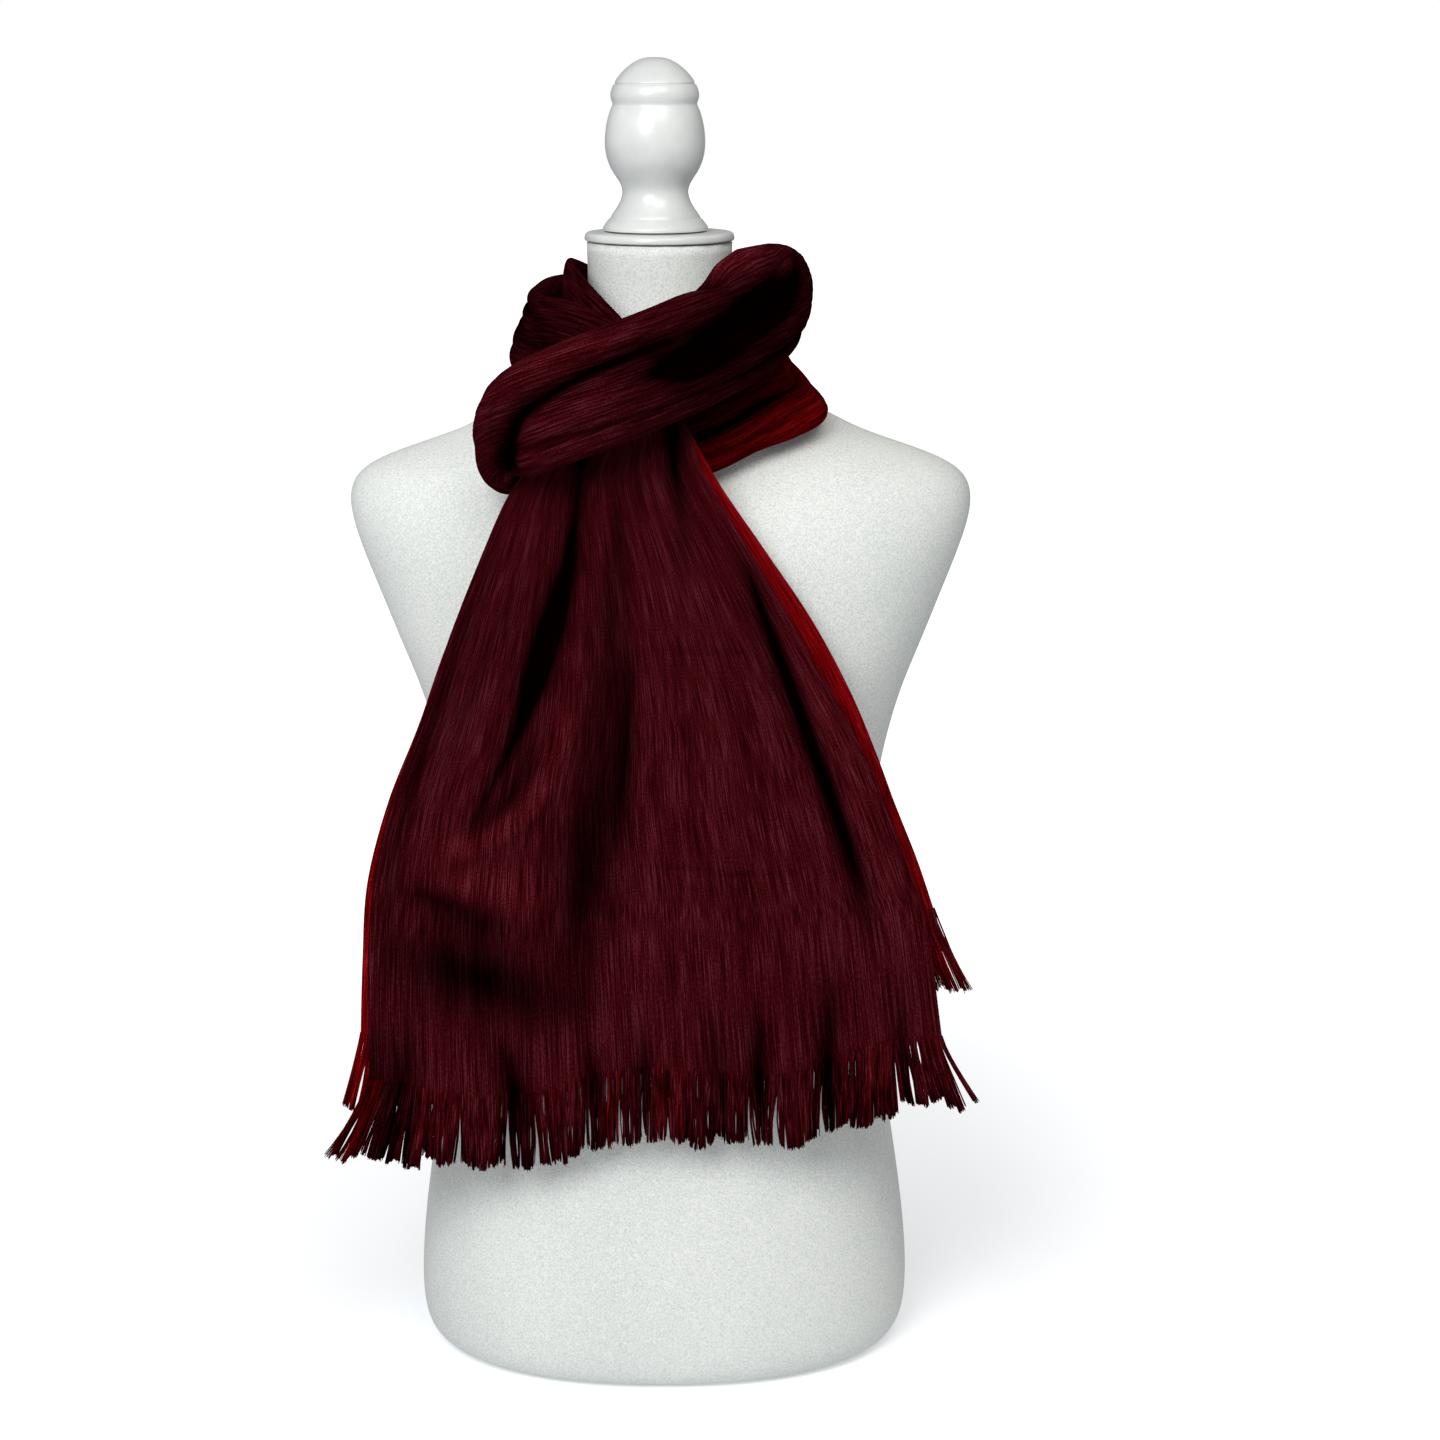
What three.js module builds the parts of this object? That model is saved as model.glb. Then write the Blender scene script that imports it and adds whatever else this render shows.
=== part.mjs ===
// A woven scarf looped round the neck of a limbless dress form.
// Millimetres, +Z up. The origin is the middle of the form's flat base, +X is the viewer's right
// and -Y is the front of the form. The scarf is folded in half, laid round the neck from the
// viewer's right, and both ends are pulled through the fold, low on the viewer's left.
import * as THREE from "three";

// Driving sizes
const CLOTH_WALL = 1.8;
const SEAM_GAP = 0.6;
const SLIT_HALF_ANGLE = 12;
const SECTION_POWER = 2.3;
const SECTION_CROWDING = 1.25;
const CREASE_EDGE_FADE = 0.3;

const NECK_TOP = 714;
const CAP_RADIUS = 47.3;
const CAP_HEIGHT = 5.7;
const CAP_ROUNDING = 1.6;
const WOOD_GAP = 0.3;
const FINIAL_OFF_CENTRE = -2.4;
const FINIAL_FOOT = NECK_TOP + CAP_HEIGHT + 2 * WOOD_GAP;
const FORM_SEGMENTS = 30;
const LATHE_SEGMENTS = 18;

const HEM_GAP = 0.8;
const FRINGE_STRIP = 4;
const FRINGE_LENGTH = 45;
const FRINGE_SPREAD = 27;
const CLUMP_SIZE = 4;
const CLUMP_PULL = 0.3;
const STRAND_SHARE = 0.64;
const STRAND_SHOULDER = 0.75;
const SHOULDER_SHARE = 0.8;
const CLUMP_LENGTH_SPREAD = 0.12;
const STRAND_LENGTH_SPREAD = 0.05;
const CORNER_FLARE_POWER = 5;

// A table is a list of rows with named columns
function table(columns, rows) {
  return rows.map((row) => Object.fromEntries(columns.map((name, place) => [name, row[place]])));
}

// Level sections of the form, from its base to the top of its neck: half its width, how far it
// reaches to the front and to the back, and how square its oval is (2 is an ellipse)
const FORM_SECTIONS = table(
  ["z", "half", "front", "back", "power"],
  [
    [0, 146, 101, 105, 2.2],
    [4, 153, 108, 112, 2.25],
    [13, 159.5, 113.5, 117.5, 2.3],
    [32, 162, 116, 120, 2.3],
    [66, 160.5, 115, 119, 2.3],
    [110, 155, 110, 113, 2.3],
    [160, 147, 103, 105, 2.3],
    [220, 137, 97, 95, 2.3],
    [280, 131, 94, 88, 2.3],
    [335, 132, 97, 87, 2.3],
    [383, 139, 103, 89, 2.25],
    [420, 147.5, 106.5, 92, 2.2],
    [445, 156, 107, 94, 2.15],
    [471, 167, 106, 94, 2.1],
    [497, 177, 102, 92, 2],
    [522, 187, 96.5, 88, 2.05],
    [545, 194.5, 89, 82, 2.05],
    [560, 195.5, 82, 77, 2.05],
    [571, 191, 76, 72, 2],
    [579, 180, 72, 68, 1.95],
    [586, 163, 69.5, 65.5, 1.8],
    [593, 142, 67.5, 63.5, 1.65],
    [600, 123, 64.5, 61.5, 1.45],
    [607, 110, 61, 59, 1.35],
    [614, 95, 57.5, 56.5, 1.35],
    [621, 80, 54.5, 54, 1.5],
    [629, 67, 52.5, 52, 1.8],
    [637, 57.5, 49.5, 49.5, 1.9],
    [647, 50, 47, 47, 2],
    [662, 45.5, 44.5, 45, 2],
    [690, 44, 44, 44, 2],
    [NECK_TOP, 45, 45, 45, 2],
  ],
);

// Turned knob on the cap: radius at each height above the cap
const FINIAL_PROFILE = table(
  ["radius", "rise"],
  [
    [0, 0],
    [32.3, 0],
    [32.6, 3],
    [31, 5.5],
    [28.6, 7.4],
    [28, 9.6],
    [25.2, 12],
    [21.4, 16],
    [20, 21.5],
    [21.8, 26.6],
    [25.8, 32.3],
    [28.9, 39],
    [30.6, 47],
    [30.4, 55],
    [29.2, 64],
    [27.6, 71.5],
    [26.2, 76],
    [27.3, 79.6],
    [27.2, 83],
    [25, 87],
    [22.8, 91.4],
    [18.5, 96],
    [12.7, 100.4],
    [0, 103],
  ],
);

// The bunched cloth as a run of oval sections. x, y, z is the middle of a section, wide and thick
// are its half sizes across and through the band, core_x and core_y is the point that the band
// wraps round there, and lean tips its outer face upwards, in degrees.
// Outer strand: from the top of the front tail up the left of the neck, round the back and the
// right side, down across the front, and round the fold at the lower left.
const OUTER_STRAND = table(
  ["x", "y", "z", "wide", "thick", "core_x", "core_y", "lean"],
  [
    [-18, -105, 639, 20, 6, 0, 0, 0],
    [-28, -103, 652, 21, 6, 0, 0, 0],
    [-50, -91, 661, 24, 7, 0, 0, 0],
    [-71, -63, 661, 25, 8, 0, 0, 10],
    [-79, -29, 662, 25, 9.5, 0, 0, 14],
    [-78, 7, 661, 25, 10.5, 0, 0, 12],
    [-69.5, 41, 659, 25, 11, 0, 0, 8],
    [-47, 68, 660, 25, 12, 0, 0, 2],
    [-14, 85, 665, 25, 13, 0, 0, 0],
    [23, 86, 671, 25, 13.5, 0, 0, 0],
    [56, 68, 676, 25, 14.5, 0, 0, 0],
    [72, 38, 680, 25, 17, 0, 0, 0],
    [73, 6, 682, 26.5, 19.5, 0, 0, 0],
    [71, -24, 683, 28.5, 21, 0, 0, 0],
    [66, -58, 679, 31, 21, 0, 0, 0],
    [47, -93, 670, 32, 20, 0, 0, 0],
    [18, -120, 658, 32, 18.5, 0, 0, 0],
    [-12, -135, 647, 32, 18, 0, 0, 0],
    [-40, -141, 637, 32, 18, 0, -20, 0],
    [-66, -138, 626, 31, 16, -10, -50, 0],
    [-86, -124, 613, 29, 14.5, -20, -90, 0],
    [-93.5, -107, 602, 22, 12, -20, -105, 0],
    [-88, -93, 592, 18.5, 9.5, -25, -108, 0],
    [-78, -84, 589, 15, 8.5, -35, -112, 0],
  ],
);

// Inner strand: from the top of the rear tail up the left of the neck under the outer strand,
// low round the back, over the right shoulder and across the chest behind both tails
const INNER_STRAND = table(
  ["x", "y", "z", "wide", "thick", "core_x", "core_y", "lean"],
  [
    [-20, -91, 641, 19, 5, 0, 0, 0],
    [-29, -87, 655, 20, 5, 0, 0, 0],
    [-42, -73, 668, 21, 6, 0, 0, 0],
    [-51, -44, 677, 22, 6, 0, 0, 0],
    [-53.5, -15, 681, 22.5, 5.5, 0, 0, 0],
    [-52, 15, 681, 22.5, 6, 0, 0, 0],
    [-39, 40, 677, 22.5, 7.5, 0, 0, 0],
    [-15, 56, 669, 22, 9, 0, 0, 0],
    [17, 58, 657, 20.5, 9, 0, 0, 8],
    [47, 47, 643.5, 17.5, 10, 0, 0, 18],
    [68.5, 25, 637.5, 15, 9.5, 0, 0, 32],
    [73, 6, 637.5, 12.5, 7, 0, 0, 46],
    [81, -14, 627.5, 15.5, 7, 0, 0, 49],
    [82, -33, 617.5, 18.5, 7.5, 0, 0, 47],
    [70, -53, 613.5, 20.5, 9, 0, 0, 38],
    [52, -69, 607, 21, 10.5, 0, 0, 24],
    [28, -80, 600, 22, 11, 0, 0, 12],
    [-4, -83, 593, 19, 10.5, 0, 0, 6],
    [-40, -83, 588, 17, 10, -40, 0, 0],
    [-68, -82, 584, 14, 9, -70, 0, 0],
  ],
);

// Creases sunk into a strand. row counts along the strand's own table, across runs from -1 at the
// band's lower edge to 1 at its upper edge, and depth and width are in millimetres.
const LOOP_CREASES = [
  table(
    ["row", "across", "depth", "width"],
    [
      [16, 0.56, 0, 9],
      [17, 0.42, 6, 8],
      [18, 0.3, 9, 7],
      [19, 0.22, 10, 6.5],
      [20, 0.15, 9, 6],
      [21, 0.05, 6, 6],
      [22, 0, 0, 6],
    ],
  ),
  table(
    ["row", "across", "depth", "width"],
    [
      [11, 0.15, 0, 10],
      [12, 0.15, 5, 11],
      [13, 0.1, 8, 12],
      [14, 0, 10, 12],
      [15, -0.18, 10, 11],
      [16, -0.22, 8, 10],
      [17, -0.2, 4, 9],
      [18, -0.12, 0, 8],
    ],
  ),
  table(
    ["row", "across", "depth", "width"],
    [
      [15, -0.66, 0, 6],
      [16, -0.66, 3, 6],
      [18, -0.62, 4, 6],
      [19, -0.62, 3, 6],
      [20, -0.6, 0, 6],
    ],
  ),
];
const BACK_UPPER_CREASES = [
  table(
    ["row", "across", "depth", "width"],
    [
      [6, 0.3, 2, 8],
      [8, 0.25, 5, 8],
      [10, 0.2, 4, 9],
      [11, 0.15, 1, 10],
    ],
  ),
  table(
    ["row", "across", "depth", "width"],
    [
      [6, -0.4, 2, 7],
      [8, -0.35, 4, 7],
      [9, -0.4, 3, 7],
      [11, -0.4, 0, 7],
    ],
  ),
];
const COLLAR_OUTER_CREASES = [
  table(
    ["row", "across", "depth", "width"],
    [
      [2, 0.1, 0, 6],
      [3, 0.2, 3, 7],
      [5, 0.3, 4, 8],
      [6, 0.3, 2, 8],
    ],
  ),
];
const UNDER_CREASES = [
  table(
    ["row", "across", "depth", "width"],
    [
      [11, 0, 0, 6],
      [13, 0.05, 3, 6],
      [15, 0.1, 5, 7],
      [17, 0, 2, 7],
      [18, 0, 0, 7],
    ],
  ),
];
const NO_CREASES = [];

// Rows of a tail, hem first: the two ends of the row, how far forward its middle hangs and how far
// its ends fall back from that
const FRONT_TAIL = table(
  ["left_x", "left_z", "right_x", "right_z", "forward", "fall_back"],
  [
    [-179, 209, 173, 241, 127, 13],
    [-177, 291, 162, 317, 127, 13],
    [-172, 341, 154, 340, 127, 13],
    [-160, 391, 134, 395, 127, 12],
    [-141, 440, 117, 432, 127, 11],
    [-124, 488, 94, 474, 125.5, 10],
    [-105, 535, 63, 528, 122, 8],
    [-86, 576, 29, 585, 115, 4],
    [-66, 600, 20, 610, 108.5, 0],
    [-48, 613, 8, 632, 106, 0],
    [-31, 626.5, -3.5, 648.5, 105, 0],
  ],
);
const REAR_TAIL = table(
  ["left_x", "left_z", "right_x", "right_z", "forward", "fall_back"],
  [
    [-184, 236, 168, 318, 108.6, 10],
    [-180, 283, 157, 350, 108.6, 10],
    [-175, 334, 143, 385, 108.6, 9],
    [-162, 385, 131, 417, 108.5, 8],
    [-144, 434, 115, 455, 108.4, 7],
    [-126, 483, 92, 498, 107.5, 6],
    [-104, 531, 64, 540, 105.5, 4],
    [-76, 570, 38, 578, 102, 1],
    [-60, 598, 22, 606, 99, 0],
    [-46, 612, 8, 630, 95, 0],
    [-32, 629, -4.4, 648.6, 91, 0],
  ],
);

// Folds that run down a tail. depth is how far the cloth sinks back, or with a minus sign how far
// it stands forward.
const FRONT_FOLDS = [
  table(
    ["x", "z", "depth", "width"],
    [
      [-40, 640, 0, 5],
      [-44, 610, 2, 5],
      [-47, 580, 5, 6],
      [-51, 532, 8, 7],
      [-64, 498, 9, 8],
      [-77, 464, 9, 9],
      [-95, 416, 7, 11],
      [-113, 380, 3, 13],
      [-124, 350, 0, 14],
    ],
  ),
  table(
    ["x", "z", "depth", "width"],
    [
      [-24, 595, 0, 6],
      [-28, 541, 5, 7],
      [-30, 482, 7, 8],
      [-37, 377, 7, 10],
      [-43, 331, 7, 14],
      [-56, 284, 8, 20],
      [-62, 236, 6, 24],
      [-66, 200, 4, 24],
    ],
  ),
  table(
    ["x", "z", "depth", "width"],
    [
      [8, 640, 0, 5],
      [9, 612, 2, 5],
      [9, 590, 4, 5],
      [14, 560, 5, 6],
      [24, 515, 0, 8],
    ],
  ),
  table(
    ["x", "z", "depth", "width"],
    [
      [48, 545, 0, 6],
      [57, 520, 5, 6],
      [80, 458, 8, 6],
      [104, 392, 7, 7],
      [125, 331, 4, 9],
      [134, 280, 0, 11],
    ],
  ),
  table(
    ["x", "z", "depth", "width"],
    [
      [112, 320, 0, 14],
      [108, 262, 4, 14],
      [104, 215, 5, 13],
    ],
  ),
];
const REAR_FOLDS = [
  table(
    ["x", "z", "depth", "width"],
    [
      [-30, 600, -1.5, 6],
      [-52, 520, -3, 12],
      [-88, 400, -3.5, 20],
      [-110, 240, -4, 26],
    ],
  ),
  table(
    ["x", "z", "depth", "width"],
    [
      [8, 600, -1.5, 6],
      [26, 500, -3, 12],
      [54, 400, -3.5, 20],
      [70, 280, -4, 24],
    ],
  ),
];

// Soft swellings (minus) and hollows of the front tail, by their middle and half sizes
const FRONT_SWELLS = table(
  ["x", "z", "half_x", "half_z", "depth"],
  [
    [-92, 366, 44, 17, -5],
    [-100, 275, 56, 34, 6],
    [-36, 560, 12, 40, -2],
    [40, 400, 34, 90, -3],
  ],
);
const NO_SWELLS = [];

const HEM_DIP = 12;
const HEM_DIPS = 2.13;
const FRONT_FLUTES = 6.5;
const REAR_FLUTES = 4.5;
const FLUTE_DEPTH = 2.5;
const FLUTE_FADE = 5;

// Colours and finishes
const JERSEY = { color: 0xe9e7e2, roughness: 0.92, metalness: 0 };
const PAINTED_WOOD = { color: 0xf4f4f2, roughness: 0.32, metalness: 0 };
const CLOTH_FACE = { color: 0x4a0d1e, roughness: 0.95, metalness: 0 };
const CLOTH_REVERSE = { color: 0x8e0f16, roughness: 0.95, metalness: 0 };
const FRINGE_YARN = { color: 0x560f1b, roughness: 0.95, metalness: 0 };

const scarfOnForm = new THREE.Group();

function addPiece(name, geometry, finish) {
  const mesh = new THREE.Mesh(geometry, new THREE.MeshStandardMaterial(finish));
  mesh.name = name;
  scarfOnForm.add(mesh);
}

// A smooth curve through the rows of a table, column by column. place counts rows.
function rowAt(rows, place) {
  const last = rows.length - 1;
  const start = Math.min(Math.max(Math.floor(place), 0), last - 1);
  const part = place - start;
  const before = rows[Math.max(start - 1, 0)];
  const from = rows[start];
  const to = rows[start + 1];
  const after = rows[Math.min(start + 2, last)];
  const mixed = {};
  for (const column of Object.keys(from)) {
    const slopeFrom = (to[column] - before[column]) / 2;
    const slopeTo = (after[column] - from[column]) / 2;
    const rise = to[column] - from[column];
    const bend = 3 * rise - 2 * slopeFrom - slopeTo;
    const twist = slopeFrom + slopeTo - 2 * rise;
    mixed[column] = from[column] + part * (slopeFrom + part * (bend + part * twist));
  }
  return mixed;
}

// The row of a table at a value of one of its columns, with straight lines between rows, or
// nothing outside the table
function rowWhere(rows, column, value) {
  for (let index = 0; index < rows.length - 1; index += 1) {
    const from = rows[index];
    const to = rows[index + 1];
    const low = Math.min(from[column], to[column]);
    const high = Math.max(from[column], to[column]);
    if (value >= low && value <= high && high > low) {
      const part = (value - from[column]) / (to[column] - from[column]);
      const mixed = {};
      for (const name of Object.keys(from)) {
        mixed[name] = THREE.MathUtils.lerp(from[name], to[name], part);
      }
      return mixed;
    }
  }
  return null;
}

function bell(distance, width) {
  return Math.exp(-((distance / width) ** 2));
}

function geometryFrom(points, triangles) {
  const geometry = new THREE.BufferGeometry();
  const numbers = points.flatMap((point) => [point.x, point.y, point.z]);
  geometry.setAttribute("position", new THREE.Float32BufferAttribute(numbers, 3));
  geometry.setIndex(triangles.flat());
  return geometry;
}

// A closed wall on both sides of a surface. surface(across, along) takes 0 to 1 both ways, and the
// wall's outer face looks along across x along. The surface is also read one step past each edge,
// so that the wall's ends are cut square.
function clothWall(surface, columns, rows) {
  const point = (column, row) => surface(column / columns, row / rows);
  const at = (column, row) => row * (columns + 1) + column;
  const outer = [];
  const inner = [];
  for (let row = 0; row <= rows; row += 1) {
    for (let column = 0; column <= columns; column += 1) {
      const across = point(column + 1, row).sub(point(column - 1, row));
      const along = point(column, row + 1).sub(point(column, row - 1));
      const normal = across.cross(along).normalize();
      outer.push(point(column, row).addScaledVector(normal, CLOTH_WALL / 2));
      inner.push(point(column, row).addScaledVector(normal, -CLOTH_WALL / 2));
    }
  }
  const innerStart = outer.length;
  const triangles = [];
  for (let row = 0; row < rows; row += 1) {
    for (let column = 0; column < columns; column += 1) {
      const a = at(column, row);
      const b = at(column + 1, row);
      const c = at(column + 1, row + 1);
      const d = at(column, row + 1);
      triangles.push([a, b, c], [a, c, d]);
      triangles.push([innerStart + a, innerStart + c, innerStart + b]);
      triangles.push([innerStart + a, innerStart + d, innerStart + c]);
    }
  }
  const border = [];
  for (let column = 0; column < columns; column += 1) {
    border.push(at(column, 0));
  }
  for (let row = 0; row < rows; row += 1) {
    border.push(at(columns, row));
  }
  for (let column = columns; column > 0; column -= 1) {
    border.push(at(column, rows));
  }
  for (let row = rows; row > 0; row -= 1) {
    border.push(at(0, row));
  }
  border.forEach((here, index) => {
    const next = border[(index + 1) % border.length];
    triangles.push([next, here, innerStart + here]);
    triangles.push([next, innerStart + here, innerStart + next]);
  });
  return geometryFrom([...outer, ...inner], triangles);
}

// Middle and directions of a strand's section
function sectionFrame(strand, place) {
  const step = 0.01;
  const row = rowAt(strand, place);
  const ahead = rowAt(strand, place + step);
  const behind = rowAt(strand, place - step);
  const centre = new THREE.Vector3(row.x, row.y, row.z);
  const run = new THREE.Vector3(ahead.x - behind.x, ahead.y - behind.y, ahead.z - behind.z);
  const speed = run.length() / (2 * step);
  run.normalize();
  const out = new THREE.Vector3(row.x - row.core_x, row.y - row.core_y, 0);
  out.addScaledVector(run, -out.dot(run)).normalize();
  const up = new THREE.Vector3().crossVectors(run, out);
  const lean = THREE.MathUtils.degToRad(row.lean);
  const outward = out.clone().multiplyScalar(Math.cos(lean)).addScaledVector(up, Math.sin(lean));
  const across = new THREE.Vector3().crossVectors(run, outward);
  return { row, centre, speed, outward, across };
}

// One coordinate of an oval, from the sine or cosine of its angle: power 2 is an ellipse, and
// more is squarer
function powerWave(value, power) {
  return Math.sign(value) * Math.abs(value) ** (2 / power);
}

// A stretch of a strand: an oval wall with a slit along the side that faces what it wraps round
function strandStretch({ strand, first, last, creases, around, along: steps }) {
  const trim = SEAM_GAP / 2;
  const start = first + (first > 0 ? trim / sectionFrame(strand, first).speed : 0);
  const end = last - (last < strand.length - 1 ? trim / sectionFrame(strand, last).speed : 0);
  const reach = Math.PI - THREE.MathUtils.degToRad(SLIT_HALF_ANGLE);
  const surface = (turn, along) => {
    const place = start + (end - start) * along;
    const { row, centre, outward, across } = sectionFrame(strand, place);
    const side = 2 * turn - 1;
    const angle = reach * Math.sign(side) * Math.abs(side) ** SECTION_CROWDING;
    const height = row.wide * powerWave(Math.sin(angle), SECTION_POWER);
    let depth = row.thick * powerWave(Math.cos(angle), SECTION_POWER);
    for (const crease of creases) {
      const here = rowWhere(crease, "row", place);
      if (here && Math.cos(angle) > 0) {
        const fade = Math.cos(angle) ** CREASE_EDGE_FADE;
        depth -= here.depth * bell(height - here.across * row.wide, here.width) * fade;
      }
    }
    return centre.clone().addScaledVector(outward, depth).addScaledVector(across, height);
  };
  return clothWall(surface, around, steps);
}

// Surface of a hanging tail, from its hem to the knot
function tailSurface(tail, folds, swells, flutes) {
  return (across, along) => {
    const row = rowAt(tail, along * (tail.length - 1));
    const x = THREE.MathUtils.lerp(row.left_x, row.right_x, across);
    const nearHem = (1 - along) ** FLUTE_FADE;
    const dip = HEM_DIP * Math.sin(HEM_DIPS * Math.PI * across) ** 2 * nearHem;
    const z = THREE.MathUtils.lerp(row.left_z, row.right_z, across) - dip;
    let y = -row.forward + row.fall_back * (2 * across - 1) ** 2;
    for (const fold of folds) {
      const here = rowWhere(fold, "z", z);
      if (here) {
        y += here.depth * bell(x - here.x, here.width);
      }
    }
    for (const swell of swells) {
      y += swell.depth * bell(x - swell.x, swell.half_x) * bell(z - swell.z, swell.half_z);
    }
    y -= FLUTE_DEPTH * (0.5 + 0.5 * Math.sin(2 * Math.PI * flutes * across)) * nearHem;
    return new THREE.Vector3(x, y, z);
  };
}

// A fixed uneven number between -1 and 1 for a strand of the fringe
function uneven(index, salt) {
  const wave = Math.sin(index * 12.9898 + salt * 78.233) * 43758.5453;
  return 2 * (wave - Math.floor(wave)) - 1;
}

// A fringe: a narrow strip under the hem with a comb of four-sided strands fused to it
function fringeComb(surface, strands) {
  const points = [];
  const triangles = [];
  const down = new THREE.Vector3(0, 0, -1);
  const outAt = (across) => {
    const step = 0.01;
    const side = surface(across + step, 0).sub(surface(across - step, 0));
    const rise = surface(across, step).sub(surface(across, -step));
    return side.cross(rise).normalize();
  };
  const addPair = (across, drop) => {
    const middle = surface(across, 0).addScaledVector(down, drop);
    const out = outAt(across);
    points.push(middle.clone().addScaledVector(out, CLOTH_WALL / 2));
    points.push(middle.clone().addScaledVector(out, -CLOTH_WALL / 2));
    return points.length - 2;
  };
  const wall = (from, to) => {
    triangles.push([from, from + 1, to + 1], [from, to + 1, to]);
  };
  const face = (a, b, c) => {
    triangles.push([a, b, c], [a + 1, c + 1, b + 1]);
  };
  const topDrop = HEM_GAP;
  const rootDrop = HEM_GAP + FRINGE_STRIP;
  const margin = (1 - STRAND_SHARE) / 2;
  let top = addPair(0, topDrop);
  let root = addPair(0, rootDrop);
  wall(top, root);
  for (let index = 0; index < strands; index += 1) {
    const left = addPair((index + margin) / strands, rootDrop);
    const right = addPair((index + 1 - margin) / strands, rootDrop);
    const nextTop = addPair((index + 1) / strands, topDrop);
    face(top, root, left);
    wall(root, left);
    face(top, left, right);
    face(top, right, nextTop);
    wall(nextTop, top);
    addStrand(points, triangles, left, right, index, strands);
    top = nextTop;
    root = right;
  }
  const end = addPair(1, rootDrop);
  face(top, root, end);
  wall(root, end);
  wall(end, top);
  return geometryFrom(points, triangles);
}

// One strand under two root pairs: a shaft to its shoulder and a tapered tip. The strands of a
// clump lean together, and those near the cloth's corners flare outwards.
function addStrand(points, triangles, left, right, index, strands) {
  const roots = [left, right, right + 1, left + 1];
  const middle = new THREE.Vector3();
  for (const corner of roots) {
    middle.addScaledVector(points[corner], 1 / roots.length);
  }
  const place = (index + 0.5) / strands;
  const clumpPlace = (Math.floor(index / CLUMP_SIZE) + 0.5) * CLUMP_SIZE - 0.5;
  const pitch = Math.abs(points[right].x - points[left].x) / STRAND_SHARE;
  const lean = (clumpPlace - index) * pitch * CLUMP_PULL;
  const flare = FRINGE_SPREAD * (2 * place - 1) ** CORNER_FLARE_POWER;
  const clump = CLUMP_LENGTH_SPREAD * uneven(Math.floor(index / CLUMP_SIZE), 1);
  const length = FRINGE_LENGTH * (1 + clump + STRAND_LENGTH_SPREAD * uneven(index, 2));
  const tip = middle.clone().add(new THREE.Vector3(lean + flare, 0, -length));
  const shoulder = points.length;
  for (const corner of roots) {
    const offset = points[corner].clone().sub(middle).multiplyScalar(SHOULDER_SHARE);
    points.push(middle.clone().lerp(tip, STRAND_SHOULDER).add(offset));
  }
  const tipIndex = points.length;
  points.push(tip);
  roots.forEach((corner, side) => {
    const next = (side + 1) % roots.length;
    triangles.push([corner, shoulder + side, shoulder + next]);
    triangles.push([corner, shoulder + next, roots[next]]);
    triangles.push([shoulder + side, tipIndex, shoulder + next]);
  });
}

// The form: level oval rings, closed by a flat base and a flat top
function formBody() {
  const points = [];
  const triangles = [];
  for (const section of FORM_SECTIONS) {
    for (let step = 0; step < FORM_SEGMENTS; step += 1) {
      const angle = (2 * Math.PI * step) / FORM_SEGMENTS;
      const depth = Math.sin(angle) < 0 ? section.front : section.back;
      const x = section.half * powerWave(Math.cos(angle), section.power);
      const y = depth * powerWave(Math.sin(angle), section.power);
      points.push(new THREE.Vector3(x, y, section.z));
    }
  }
  const at = (ring, step) => ring * FORM_SEGMENTS + (step % FORM_SEGMENTS);
  const base = points.push(new THREE.Vector3(0, 0, 0)) - 1;
  const crown = points.push(new THREE.Vector3(0, 0, NECK_TOP)) - 1;
  const lastRing = FORM_SECTIONS.length - 1;
  for (let step = 0; step < FORM_SEGMENTS; step += 1) {
    triangles.push([base, at(0, step + 1), at(0, step)]);
    triangles.push([crown, at(lastRing, step), at(lastRing, step + 1)]);
    for (let ring = 0; ring < lastRing; ring += 1) {
      const a = at(ring, step);
      const b = at(ring, step + 1);
      const c = at(ring + 1, step + 1);
      const d = at(ring + 1, step);
      triangles.push([a, b, c], [a, c, d]);
    }
  }
  return geometryFrom(points, triangles);
}

// A turned piece: a profile spun round the form's axis, from the axis and back to it
function turnedPiece(profile, foot, offCentre) {
  const outline = profile.map((row) => new THREE.Vector2(row.radius, row.rise));
  const geometry = new THREE.LatheGeometry(outline, LATHE_SEGMENTS);
  geometry.rotateX(Math.PI / 2);
  geometry.translate(offCentre, 0, foot);
  return geometry;
}

function neckCap() {
  const profile = table(
    ["radius", "rise"],
    [
      [0, 0],
      [CAP_RADIUS - CAP_ROUNDING, 0],
      [CAP_RADIUS, CAP_ROUNDING],
      [CAP_RADIUS, CAP_HEIGHT - CAP_ROUNDING],
      [CAP_RADIUS - CAP_ROUNDING, CAP_HEIGHT],
      [0, CAP_HEIGHT],
    ],
  );
  return turnedPiece(profile, NECK_TOP + WOOD_GAP, 0);
}

// The stretches of bunched cloth: the rows of the strand where each starts and ends, and the
// steps of its wall round the section and along the band
const STRETCHES = table(
  ["name", "strand", "first", "last", "creases", "around", "along", "finish"],
  [
    ["loop_front", OUTER_STRAND, 11, 23, LOOP_CREASES, 28, 28, CLOTH_FACE],
    ["loop_under", INNER_STRAND, 10, 19, UNDER_CREASES, 16, 16, CLOTH_REVERSE],
    ["collar_left_outer", OUTER_STRAND, 0, 6, COLLAR_OUTER_CREASES, 16, 10, CLOTH_FACE],
    ["collar_left_inner", INNER_STRAND, 0, 6, NO_CREASES, 14, 9, CLOTH_REVERSE],
    ["neck_back_upper", OUTER_STRAND, 6, 11, BACK_UPPER_CREASES, 18, 8, CLOTH_FACE],
    ["neck_back_lower", INNER_STRAND, 6, 10, NO_CREASES, 14, 7, CLOTH_REVERSE],
  ],
);

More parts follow.
